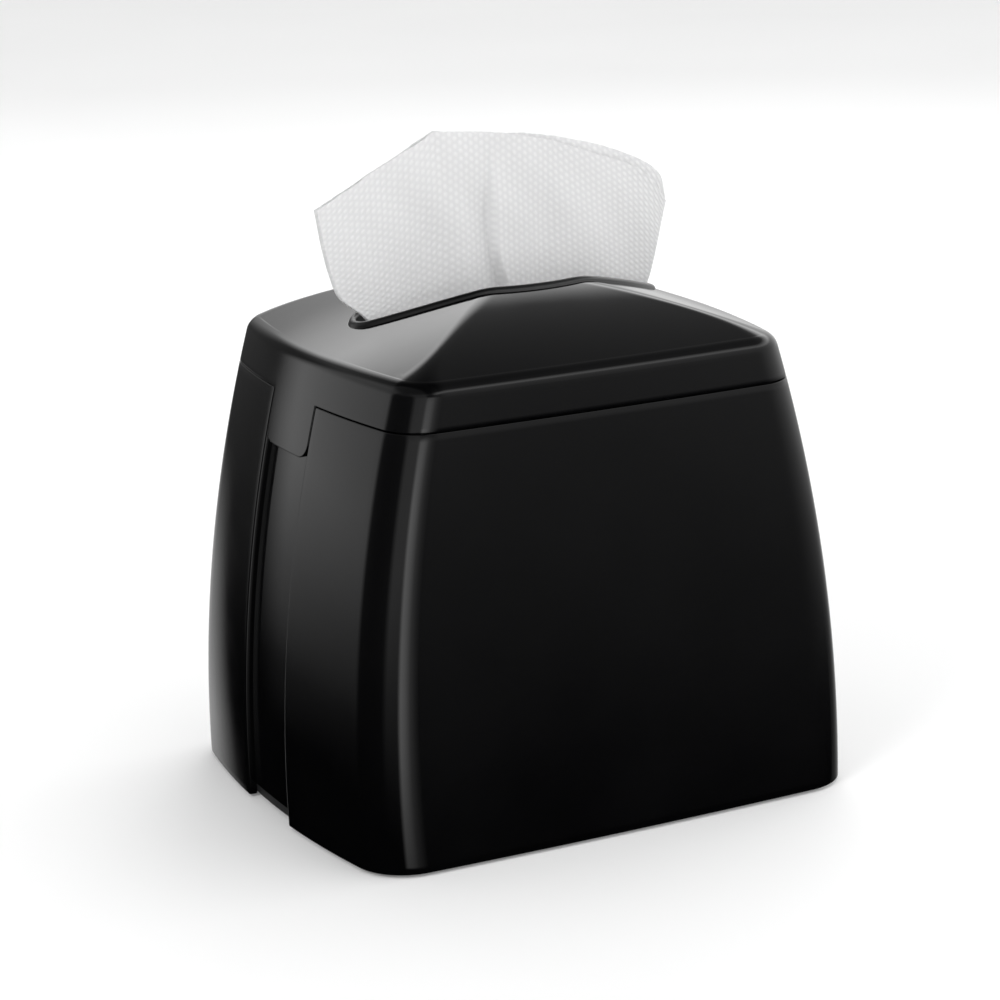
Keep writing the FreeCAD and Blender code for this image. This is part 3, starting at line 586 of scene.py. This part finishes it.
def spline_through(points, count, corner_first=False):
    """Evenly spaced points along a smooth curve through points; corner_first keeps a straight lead."""
    points = np.array(points, float)
    ends = np.vstack([2 * points[0] - points[1], points, 2 * points[-1] - points[-2]])
    curve = []
    for number in range(len(points) - 1):
        before, start, finish, after = ends[number:number + 4]
        t = np.linspace(0, 1, 40, endpoint=False)[:, None]
        curve.append(0.5 * (2 * start + (finish - before) * t
                            + (2 * before - 5 * start + 4 * finish - after) * t ** 2
                            + (3 * start - 3 * finish + after - before) * t ** 3))
    curve = np.vstack(curve + [points[-1:]])
    if corner_first is not False:
        curve = np.vstack([np.linspace(corner_first, curve[0], 40, endpoint=False), curve])
    along = np.concatenate([[0], np.cumsum(np.linalg.norm(np.diff(curve, axis=0), axis=1))])
    places = np.linspace(0, along[-1], count)
    return np.column_stack([np.interp(places, along, curve[:, axis]) for axis in (0, 1)])


def fan_grid(top_points, columns, rows, ragged):
    """The fan's (x, z) grid, rows from its foot to its top edge."""
    across, up = np.linspace(0, 1, columns), np.linspace(0, 1, rows)[:, None]
    top = spline_through(top_points, columns, corner_first=FAN_LEFT[-1])
    top[1:-1, 1] += ragged[1:-1]
    left = spline_through(FAN_LEFT, rows)
    right = spline_through(FAN_RIGHT[:2] + [top[-1]], rows)
    foot = np.column_stack([np.linspace(left[0, 0], right[0, 0], columns), np.full(columns, FAN_FOOT)])
    grid = np.empty((rows, columns, 2))
    for axis in (0, 1):
        straight = (1 - up) * foot[:, axis] + up * top[:, axis]
        edges = (1 - across) * left[:, axis, None] + across * right[:, axis, None]
        corners = ((1 - up) * ((1 - across) * foot[0, axis] + across * foot[-1, axis])
                   + up * ((1 - across) * top[0, axis] + across * top[-1, axis]))
        grid[:, :, axis] = straight + edges - corners
    return grid


def fan_relief(x, z):
    """How far the napkin leans backwards at each point: its pleat, creases and soft waves."""
    low = 1 - smooth_step(z, 196, 238)
    mid = 1 - smooth_step(z, 214, 246)
    pleat_x = PLEAT_X + PLEAT_RUN * (1 - smooth_step(z, 184, 212)) ** 1.3
    beside = x - pleat_x
    valley = np.exp(np.minimum(beside, 0) / PLEAT_LEFT)
    proud = np.exp(-np.maximum(beside, 0) / PLEAT_RIGHT)
    edge = smooth_step(beside, *PLEAT_STEP)
    relief = PLEAT_DEPTH * mid * (valley * (1 - edge) - 0.55 * proud * edge)
    for depth, middle, lean, width, ends_low in SOFT_WAVES:
        across = (x - middle - lean * (z - 200)) / width
        relief += depth * (low if ends_low else mid) * np.exp(-across ** 2)
    crease = CREASE_X + CREASE_LEAN * (CREASE_TOP - z)
    relief += FALL_BACK * np.maximum(crease - x, 0) - FALL_BACK * np.maximum(x - FALL_START, 0)
    relief += 0.5 * np.exp(-((x - crease) / CREASE_WIDTH) ** 2) * smooth_step(z, 205, 240)
    relief += 0.55 * np.sin(x / 9.7 + 0.8) * np.sin(z / 15 + x / 31)
    relief += 0.2 * np.sin(x / 3.9 + z / 7.3 + 1.3 * np.sin(z / 12))
    return relief * smooth_step(z, 172, 190) * RELIEF


def napkin_leaf(name, top_points, depth, random, columns, rows):
    """One leaf folded over at its top edge; depth is how far back its front layer lies."""
    noise = random.normal(0, 1, (3, columns))
    smooth = [np.convolve(line, np.ones(width) / width ** 0.5, "same")
              for line, width in zip(noise, RAGGED_WIDTHS)]
    ragged = sum(share * line for share, line in zip(RAGGED_SHARES, smooth))
    grid = fan_grid(top_points, columns, rows, ragged)
    x, z = grid[:, :, 0], grid[:, :, 1]
    front = np.stack([x, depth + fan_relief(x, z), z], axis=-1)
    opening = LEAF_GAP * (0.35 + 0.65 * smooth_step(np.linspace(1, 0, rows), 0, 0.25))[:, None]
    bulge = 0.4 * np.sin(x / 8.3 + depth) * smooth_step(-z, -240, -200)
    back = front + np.stack([0 * x, opening + bulge, 0 * x], axis=-1)
    back = back[-2::-1]
    fold = (front[-1] + (0, 0.5 * opening[-1, 0], 0.0))[None]
    points = np.concatenate([front, fold, back])
    numbers = np.arange(points.shape[0] * columns).reshape(points.shape[0], columns)
    piece = mesh_object(name, points.reshape(-1, 3), strip_faces(numbers), sharp=80)
    sheet_map = piece.data.uv_layers.new(name="sheet")
    steps = np.linalg.norm(np.diff(points, axis=0), axis=2).mean(axis=1)
    height = np.concatenate([[0], np.cumsum(steps)])
    flat = np.empty((points.shape[0], columns, 2))
    flat[:, :, 0] = np.concatenate([x, x[-1:], x[-2::-1]])
    flat[:, :, 1] = height[:, None] + 0 * flat[:, :, 0]
    loops = np.empty(len(piece.data.loops), dtype=np.int64)
    piece.data.loops.foreach_get("vertex_index", loops)
    sheet_map.data.foreach_set("uv", (flat.reshape(-1, 2)[loops] * MM).ravel())
    thickness = piece.modifiers.new("paper", "SOLIDIFY")
    thickness.thickness = PAPER * MM
    thickness.offset = 0
    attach(piece, "napkin")
    return piece


def standing_napkin():
    """The napkin that stands in the mouth: two folded leaves, the front one a little shorter."""
    random = np.random.default_rng(NAPKIN_SEED)
    back = napkin_leaf("napkin_back_leaf", BACK_TOP, BACK_LEAF_DEPTH, random,
                       FAN_COLUMNS // 2, FAN_ROWS // 2)
    front = napkin_leaf("napkin_front_leaf", FRONT_TOP, FRONT_LEAF_DEPTH, random,
                        FAN_COLUMNS, FAN_ROWS)
    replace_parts(front, "standing_napkin")
    for leaf in (back, front):
        leaf.visible_glossy = False
    return [back, front]


LEAF_THICKNESS = 2.05
LEAF_LEVELS = (0.0, 0.12, 0.3, 0.5, 0.7, 0.88)
STACK_CORNER = 3.0
STACK_CLEARANCE = 0.4
FOLD_INSET = 0.55
LEAF_SHIFT = 0.5
LEAF_SLIP = 0.2
TOP_ROWS = 26
TOP_DIP = 0.35
TOP_WAVE = 0.22


def napkin_stack():
    """The loaded stack: rounded folds showing leaf by leaf along its sides."""
    random = np.random.default_rng(NAPKIN_SEED + 1)
    low, high = STACK_LOW, STACK_HIGH
    leaves = int(round((high[2] - low[2]) / LEAF_THICKNESS))
    thickness = (high[2] - low[2]) / leaves
    half = high[:2] - STACK_CLEARANCE
    turns = np.linspace(0, math.pi / 2, 5)
    corner = [(half[0] - STACK_CORNER + STACK_CORNER * math.cos(turn),
               half[1] - STACK_CORNER + STACK_CORNER * math.sin(turn)) for turn in turns]
    side = [(half[0], y) for y in np.linspace(0, half[1] - STACK_CORNER, 14)[:-1]]
    face = [(x, half[1]) for x in np.linspace(half[0] - STACK_CORNER, 0, 20)[1:]]
    quarter = np.array(side + corner + face)
    half_loop = np.vstack([quarter, quarter[-2::-1] * (-1, 1)])
    loop = np.vstack([half_loop, half_loop[-2:0:-1] * (1, -1)])
    rows = []
    for leaf in range(leaves):
        shift = random.uniform(0, LEAF_SHIFT, 2)
        slip = random.uniform(-LEAF_SLIP, LEAF_SLIP, 2)
        for level in LEAF_LEVELS:
            inset = FOLD_INSET * (1 - math.sqrt(max(1 - (2 * abs(level - 0.5)) ** 2, 0)))
            plan = loop * (1 - (inset + shift) / half) + slip * 0.5
            rows.append(level_points(plan, low[2] + (leaf + level) * thickness))
    rows.append(level_points(rows[-1][:, :2], high[2]))
    for shrink in np.linspace(0.985, 0.03, TOP_ROWS):
        plan = loop * shrink
        x, y = plan.T
        wave = np.sin(x / 11 + 0.6) * np.sin(y / 14) + 0.5 * np.sin(x / 5.1 + y / 6.7)
        rows.append(level_points(plan, high[2] - (TOP_DIP + TOP_WAVE * wave) * min(1.0, 6 * (1 - shrink))))
    columns = len(loop)
    numbers = np.arange(len(rows) * columns).reshape(len(rows), columns)
    faces = strip_faces(numbers, closed_columns=True)
    faces += [tuple(numbers[0][::-1]), tuple(numbers[-1])]
    piece = outward(mesh_object("napkin_pile", np.vstack(rows), faces))
    piece.data.set_sharp_from_angle(angle=math.radians(60))
    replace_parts(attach(piece, "follower"), "napkin_stack")
    return piece


# ---------------------------------------------------------------- springs

SPRING_RADIUS = 5.2
SPRING_WIRE = 0.7
SPRING_TURNS = 7.5
TURN_STEPS = 36
WIRE_STEPS = 12


def lift_spring(where):
    """A compression spring with closed ends."""
    node = f"lift_spring_{where}"
    low, high = box_mm(node)
    centre = (low[:2] + high[:2]) / 2
    start, length = low[2] + SPRING_WIRE, high[2] - low[2] - 2 * SPRING_WIRE
    steps = int(SPRING_TURNS * TURN_STEPS)
    points = []
    for step in range(steps + 1):
        share = step / steps
        turn = 2 * math.pi * SPRING_TURNS * share
        rise = start + length * (share - 0.02 * math.sin(4 * math.pi * share))
        outward_way = np.array((math.cos(turn), math.sin(turn), 0))
        middle = np.array((centre[0], centre[1], rise)) + SPRING_RADIUS * outward_way
        for slice_number in range(WIRE_STEPS):
            angle = 2 * math.pi * slice_number / WIRE_STEPS
            points.append(middle + SPRING_WIRE * (math.cos(angle) * outward_way
                                                  + math.sin(angle) * np.array((0, 0, 1))))
    numbers = np.arange(len(points)).reshape(steps + 1, WIRE_STEPS)
    faces = strip_faces(numbers, closed_columns=True)
    faces += [tuple(numbers[0][::-1]), tuple(numbers[-1])]
    piece = outward(mesh_object(f"{node}_wire", points, faces))
    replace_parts(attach(piece, "casing"), node)
    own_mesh(piece)
    return piece


# ---------------------------------------------------------------- materials

def new_material(name, **values):
    """A material and its node tree, with the shader's fixed values set."""
    material = bpy.data.materials.new(name)
    material.use_nodes = True
    tree = material.node_tree
    shader = tree.nodes["Principled BSDF"]
    for socket, value in values.items():
        shader.inputs[socket.replace("_", " ")].default_value = value
    return material, tree, shader


def add(tree, kind, values=None, **settings):
    node = tree.nodes.new(kind)
    for key, value in settings.items():
        setattr(node, key, value)
    for key, value in (values or {}).items():
        node.inputs[key].default_value = value
    return node


def noise(tree, scale, detail=3.0, roughness=0.5):
    """Noise at a scale in cycles per metre."""
    place = add(tree, "ShaderNodeTexCoord")
    node = add(tree, "ShaderNodeTexNoise", {"Scale": scale, "Detail": detail, "Roughness": roughness})
    tree.links.new(place.outputs["Object"], node.inputs["Vector"])
    return node.outputs["Fac"]


def ramp(tree, source, low, high, start=0.3, end=0.7):
    """Map a value to a colour or a number between low and high."""
    if isinstance(low, tuple):
        node = add(tree, "ShaderNodeValToRGB")
        for element, place, colour in zip(node.color_ramp.elements, (start, end), (low, high)):
            element.position = place
            element.color = colour + (1,)
        tree.links.new(source, node.inputs["Fac"])
        return node.outputs["Color"]
    node = add(tree, "ShaderNodeMapRange",
               {"From Min": start, "From Max": end, "To Min": low, "To Max": high})
    tree.links.new(source, node.inputs["Value"])
    return node.outputs["Result"]


def calculate(tree, operation, first, second=None):
    node = add(tree, "ShaderNodeMath", operation=operation)
    for socket, value in zip(node.inputs, (first, second)):
        if value is None:
            continue
        if isinstance(value, (int, float)):
            socket.default_value = value
        else:
            tree.links.new(value, socket)
    return node.outputs[0]


def bump(tree, shader, source, distance, strength=1.0, base=None):
    node = add(tree, "ShaderNodeBump", {"Strength": strength, "Distance": distance})
    tree.links.new(source, node.inputs["Height"])
    if base is not None:
        tree.links.new(base, node.inputs["Normal"])
    tree.links.new(node.outputs["Normal"], shader.inputs["Normal"])
    return node.outputs["Normal"]


def gloss_moulding(name, level=0.19, rough=0.09):
    """Polished black plastic: faint flow in its colour, fine hairlines and a trace of orange peel."""
    material, tree, shader = new_material(name, Specular_IOR_Level=level, IOR=1.5)
    tree.links.new(ramp(tree, noise(tree, 18, 4), (0.0008, 0.0008, 0.0010), (0.0018, 0.0018, 0.0020)),
                   shader.inputs["Base Color"])
    smear = noise(tree, 42, 5, 0.6)
    tree.links.new(ramp(tree, smear, rough * 0.75, rough * 1.35), shader.inputs["Roughness"])
    place = add(tree, "ShaderNodeTexCoord")
    stretch = add(tree, "ShaderNodeMapping", {"Scale": (3.0, 3.0, 0.25), "Rotation": (0.2, 0.35, 0.5)})
    tree.links.new(place.outputs["Object"], stretch.inputs["Vector"])
    lines = add(tree, "ShaderNodeTexNoise", {"Scale": 900.0, "Detail": 2.0})
    tree.links.new(stretch.outputs["Vector"], lines.inputs["Vector"])
    peel = bump(tree, shader, noise(tree, 260, 2), 0.000004)
    bump(tree, shader, lines.outputs["Fac"], 0.0000012, base=peel)
    return material


def matt_moulding(name, dark=(0.012, 0.012, 0.013), light=(0.02, 0.02, 0.021), rough=0.48):
    """Fine spark-textured black plastic."""
    material, tree, shader = new_material(name, Specular_IOR_Level=0.35)
    tree.links.new(ramp(tree, noise(tree, 60, 5), dark, light), shader.inputs["Base Color"])
    grain = noise(tree, 2600, 2)
    tree.links.new(ramp(tree, grain, rough - 0.07, rough + 0.09), shader.inputs["Roughness"])
    bump(tree, shader, grain, 0.00005, 0.6)
    return material


def bare_metal(name, colour, rough, drawn=(40.0, 40.0, 1.2)):
    """Drawn or turned metal with faint lines along it and a few dull patches."""
    material, tree, shader = new_material(name, Metallic=1.0)
    place = add(tree, "ShaderNodeTexCoord")
    stretch = add(tree, "ShaderNodeMapping", {"Scale": drawn})
    tree.links.new(place.outputs["Object"], stretch.inputs["Vector"])
    lines = add(tree, "ShaderNodeTexNoise", {"Scale": 60.0, "Detail": 4.0})
    tree.links.new(stretch.outputs["Vector"], lines.inputs["Vector"])
    tree.links.new(ramp(tree, noise(tree, 90, 4), tuple(0.82 * c for c in colour), colour),
                   shader.inputs["Base Color"])
    tree.links.new(ramp(tree, lines.outputs["Fac"], rough * 0.8, rough * 1.4), shader.inputs["Roughness"])
    bump(tree, shader, lines.outputs["Fac"], 0.00002, 0.5)
    return material


def rubber(name):
    material, tree, shader = new_material(name, Specular_IOR_Level=0.3)
    dust = noise(tree, 140, 6, 0.65)
    tree.links.new(ramp(tree, dust, (0.014, 0.014, 0.015), (0.045, 0.044, 0.042), 0.45, 0.8),
                   shader.inputs["Base Color"])
    tree.links.new(ramp(tree, dust, 0.62, 0.86), shader.inputs["Roughness"])
    bump(tree, shader, noise(tree, 1500, 3), 0.00008, 0.7)
    return material


def acetal(name):
    material, tree, shader = new_material(name, Specular_IOR_Level=0.45, Subsurface_Weight=0.15,
                                          Subsurface_Scale=0.002)
    tree.links.new(ramp(tree, noise(tree, 120, 4), (0.70, 0.69, 0.66), (0.80, 0.79, 0.77)),
                   shader.inputs["Base Color"])
    tree.links.new(ramp(tree, noise(tree, 500, 3), 0.3, 0.42), shader.inputs["Roughness"])
    bump(tree, shader, noise(tree, 900, 2), 0.00002, 0.5)
    return material


# the paper's embossed cushions, in millimetres
DOT_PITCH = 2.2
DOT_DEPTH = 0.16
# the three directions their waves run in
DOT_WAYS = ((0.5, 0.866), (0.5, -0.866), (1.0, 0.0))


def paper(name, mapped):
    """Embossed tissue: small raised cushions, lighter in colour on their crowns as a painted highlight, and
    fibre flecks; mapped sheets let light through.
    """
    material, tree, shader = new_material(name, Roughness=0.93, Specular_IOR_Level=0.12, Sheen_Weight=0.15,
                                          Sheen_Roughness=0.6)
    place = add(tree, "ShaderNodeTexCoord")
    if mapped:
        source = add(tree, "ShaderNodeUVMap", uv_map="sheet").outputs["UV"]
    else:
        source = place.outputs["Object"]
    split = add(tree, "ShaderNodeSeparateXYZ")
    tree.links.new(source, split.inputs["Vector"])
    turn = 2 * math.pi / (DOT_PITCH * MM)
    waves = []
    for across, up in DOT_WAYS:
        along = calculate(tree, "ADD", calculate(tree, "MULTIPLY", split.outputs["X"], across * turn),
                          calculate(tree, "MULTIPLY", split.outputs["Y"], up * turn))
        waves.append(calculate(tree, "COSINE", along))
    dots = calculate(tree, "ADD", calculate(tree, "ADD", waves[0], waves[1]), waves[2])
    cushions = ramp(tree, dots, 0.0, 1.0, -0.9, 2.6)
    fibre = noise(tree, 1700, 4, 0.7)
    cloud = noise(tree, 70, 3)
    # painted highlight: the raised cushions are made lighter in colour; the cloud noise is the paper's own
    # uneven tone
    cushion_highlight_and_cloud_tone = calculate(tree, "MULTIPLY", ramp(tree, cushions, 0.0, 1.0, 0.0, 0.8), ramp(tree, cloud, 0.8, 1.0))
    tree.links.new(ramp(tree, cushion_highlight_and_cloud_tone, (0.82, 0.82, 0.825), (0.91, 0.91, 0.91), 0.0, 1.0),
                   shader.inputs["Base Color"])
    soft = bump(tree, shader, cushions, DOT_DEPTH * MM, 0.8)
    bump(tree, shader, fibre, 0.00006, 0.5, base=soft)
    if mapped:
        through = add(tree, "ShaderNodeBsdfTranslucent", {"Color": (0.9, 0.9, 0.9, 1)})
        blend = add(tree, "ShaderNodeMixShader", {"Fac": 0.16})
        output = tree.nodes["Material Output"]
        tree.links.new(shader.outputs["BSDF"], blend.inputs[1])
        tree.links.new(through.outputs["BSDF"], blend.inputs[2])
        tree.links.new(blend.outputs["Shader"], output.inputs["Surface"])
    return material


def floor_paint(name):
    material, tree, shader = new_material(name, Specular_IOR_Level=0.05, Emission_Strength=0.13)
    tree.links.new(ramp(tree, noise(tree, 3, 3), (0.86, 0.86, 0.86), (0.885, 0.885, 0.885)),
                   shader.inputs["Base Color"])
    tree.links.new(ramp(tree, noise(tree, 9, 3), 0.85, 0.95), shader.inputs["Roughness"])
    bump(tree, shader, noise(tree, 400, 2), 0.00002, 0.3)
    return material


def paint(pieces, material):
    for piece in pieces:
        chosen = [face.material_index for face in piece.data.polygons]
        piece.data.materials.clear()
        piece.data.materials.append(material)
        piece.data.polygons.foreach_set("material_index", chosen)


# ---------------------------------------------------------------- build

shells = [shell("front_shell", -1), shell("rear_shell", 1)]
panels = [side_panel("right_side_panel", 1), side_panel("left_side_panel", -1)]
lid = lid_mesh()
rims = lid_rim()
leaves = standing_napkin()
pile = napkin_stack()
springs = [lift_spring(f"{end}_{side}") for end in ("front", "rear") for side in ("left", "right")]

gloss = gloss_moulding("gloss_black_moulding")
steel = bare_metal("drawn_steel", (0.62, 0.62, 0.61), 0.22)
spring_steel = bare_metal("spring_steel", (0.50, 0.50, 0.50), 0.28, (40.0, 40.0, 40.0))
plated = bare_metal("zinc_plated", (0.66, 0.67, 0.70), 0.30, (20.0, 20.0, 20.0))
matt = matt_moulding("textured_black_moulding")
satin = matt_moulding("satin_black_lip", (0.0012, 0.0012, 0.0014), (0.003, 0.003, 0.0032), 0.34)
foot_rubber = rubber("foot_rubber")
bush_plastic = acetal("white_acetal")
napkin_paper = paper("embossed_paper", True)
pile_paper = paper("stacked_paper", False)

paint(shells + [lid] + rims, gloss)
lid.data.materials.append(satin)  # slot 1, the rolled lip
paint(panels, gloss_moulding("gloss_black_panel", 0.19, 0.08))
paint(leaves, napkin_paper)
paint([pile], pile_paper)
paint(springs, spring_steel)

FINISHES = {"base_plate": matt, "top_frame": matt, "stack_guide": matt, "spring_cup": matt,
            "lift_plate": matt, "guide_rod": steel, "guide_bush": bush_plastic,
            "rubber_foot": foot_rubber, "screws": plated}
for node_name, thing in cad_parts.items():
    for key, finish in FINISHES.items():
        if key in node_name:
            paint([thing], finish)


# ---------------------------------------------------------------- room, lights, camera

# the floor's rings, in metres
FLOOR_RINGS = [0.3, 0.8, 1.6, 3.0, 6.0, 12.0, 24.0, 40.0]
FLOOR_STEPS = 64


def floor():
    """A wide flat floor, hidden from glossy rays so that the studio's brightness shows instead."""
    points = [(0.0, 0.0, 0.0)]
    for radius in FLOOR_RINGS:
        for step in range(FLOOR_STEPS):
            angle = 2 * math.pi * step / FLOOR_STEPS
            points.append((radius / MM * math.cos(angle), radius / MM * math.sin(angle), 0.0))
    faces = [(0, 1 + step, 1 + (step + 1) % FLOOR_STEPS) for step in range(FLOOR_STEPS)]
    numbers = np.arange(1, len(points)).reshape(len(FLOOR_RINGS), FLOOR_STEPS)
    faces += strip_faces(numbers, closed_columns=True)
    thing = mesh_object("floor", points, faces)
    paint([thing], floor_paint("floor_paint"))
    thing.visible_glossy = False


def softbox(name, place, aim, size, radiance):
    """An area light aimed at a point, which lights the object but isn't seen in its gloss."""
    light = bpy.data.lights.new(name, "AREA")
    light.shape = "RECTANGLE"
    light.size, light.size_y = size
    light.energy = radiance * math.pi * size[0] * size[1]
    thing = bpy.data.objects.new(name, light)
    thing.location = place
    thing.rotation_euler = (Vector(aim) - Vector(place)).to_track_quat("-Z", "Y").to_euler()
    thing.visible_camera = False
    thing.visible_glossy = False
    bpy.context.scene.collection.objects.link(thing)


# the studio's brightness is a sum of products of two of these, as (component, level) pairs: one by a
# direction's upward component, the other by its component to the right
WALLS = [(-1.0, 0.0), (-0.30, 0.0), (-0.24, 0.06), (-0.15, 0.45), (-0.04, 1.1), (0.12, 1.1), (0.3, 0.7),
         (0.6, 0.25), (1.0, 0.2)]
WALL_SIDES = [(-1.0, 0.1), (-0.86, 0.15), (-0.75, 1.25), (-0.45, 1.3), (-0.34, 0.12), (0.15, 0.16),
              (0.35, 0.95), (1.0, 1.3)]
BAND = [(-1.0, 0.0), (0.1, 0.0), (0.34, 0.9), (0.46, 3.6), (0.56, 2.4), (0.66, 0.25), (1.0, 0.0)]
BAND_SIDES = [(-1.0, 0.1), (-0.18, 0.1), (0.04, 1.0), (1.0, 1.0)]
# this pair counts only towards the front, and the next only towards the rear
FRONT_GLOW = [(-1.0, 0.0), (-0.45, 0.0), (-0.34, 5.4), (-0.2, 4.2), (0.0, 1.5), (0.3, 0.0), (1.0, 0.0)]
FRONT_RISE = [(-1.0, 0.0), (-0.36, 0.0), (-0.2, 0.9), (0.0, 1.0), (0.15, 0.2), (0.3, 0.0), (1.0, 0.0)]
REAR_GLOW = [(-1.0, 0.0), (-0.20, 0.0), (-0.06, 0.9), (0.6, 0.9), (1.0, 0.0)]
REAR_RISE = [(-1.0, 0.0), (-0.45, 0.0), (-0.32, 1.0), (-0.22, 1.0), (-0.14, 0.0), (1.0, 0.0)]
# no level above is more than this
LEVEL_TOP = 6.0

# lamps: (place, point aimed at, size, brightness)
LAMPS = {"key_light": ((-1.1, -0.6, 1.1), (0, 0, 0.2), (0.5, 0.5), 9.0),
         "top_light": ((0.2, 0.3, 2.6), (0, 0, 0.0), (2.4, 2.4), 1.15),
         "back_fill": ((0.8, 1.3, 1.0), (0, 0, 0.2), (0.7, 0.5), 3.5)}


def level_ramp(tree, source, stops):
    """A number by a direction's component, which runs from -1 to 1."""
    node = add(tree, "ShaderNodeValToRGB")
    elements = node.color_ramp.elements
    while len(elements) < len(stops):
        elements.new(0.5)
    for element, (place, level) in zip(elements, stops):
        element.position = (place + 1) / 2
        element.color = (level / LEVEL_TOP,) * 3 + (1,)
    tree.links.new(ramp(tree, source, 0.0, 1.0, -1.0, 1.0), node.inputs["Fac"])
    return calculate(tree, "MULTIPLY", node.outputs["Color"], LEVEL_TOP)


def room():
    """A studio with a pale horizon, a bright band above it, and low glows at the front and rear."""
    world = bpy.data.worlds.new("studio")
    world.use_nodes = True
    tree = world.node_tree
    background = tree.nodes["Background"]
    place = add(tree, "ShaderNodeTexCoord")
    split = add(tree, "ShaderNodeSeparateXYZ")
    tree.links.new(place.outputs["Generated"], split.inputs["Vector"])
    across, along, up = (split.outputs[axis] for axis in "XYZ")
    walls, band, front, rear = (
        calculate(tree, "MULTIPLY", level_ramp(tree, up, rise), level_ramp(tree, across, round_it))
        for rise, round_it in ((WALLS, WALL_SIDES), (BAND, BAND_SIDES),
                               (FRONT_RISE, FRONT_GLOW), (REAR_RISE, REAR_GLOW)))
    front = calculate(tree, "MULTIPLY", front, calculate(tree, "LESS_THAN", along, 0.0))
    rear = calculate(tree, "MULTIPLY", rear, calculate(tree, "GREATER_THAN", along, 0.0))
    total = calculate(tree, "ADD", calculate(tree, "ADD", walls, band),
                      calculate(tree, "ADD", front, rear))
    tree.links.new(total, background.inputs["Color"])
    bpy.context.scene.world = world
    bpy.context.scene.view_settings.view_transform = "Standard"
    for name, lamp in LAMPS.items():
        softbox(name, *lamp)


# the camera: its turn, rise and tilt in degrees, its place in metres and its lens
CAMERA_ANGLES = (-26.33, 15.17, -1.76)
CAMERA_PLACE = (-0.5090, -1.0192, 0.4158)
CAMERA_LENS = 110.93
SENSOR_WIDTH = 36.0


def camera():
    """The camera at the photograph's angle."""
    turn, rise, tilt = (math.radians(angle) for angle in CAMERA_ANGLES)
    back = Vector((math.sin(turn) * math.cos(rise), -math.cos(turn) * math.cos(rise), math.sin(rise)))
    right = Vector((math.cos(turn), math.sin(turn), 0))
    up = back.cross(right)
    right, up = (right * math.cos(tilt) + up * math.sin(tilt), up * math.cos(tilt) - right * math.sin(tilt))
    data = bpy.data.cameras.new("camera")
    data.lens = CAMERA_LENS
    data.sensor_width = SENSOR_WIDTH
    thing = bpy.data.objects.new("camera", data)
    rows = [(right[axis], up[axis], back[axis], CAMERA_PLACE[axis]) for axis in range(3)]
    thing.matrix_world = Matrix(rows + [(0, 0, 0, 1)])
    bpy.context.scene.collection.objects.link(thing)
    bpy.context.scene.camera = thing


floor()
room()
camera()
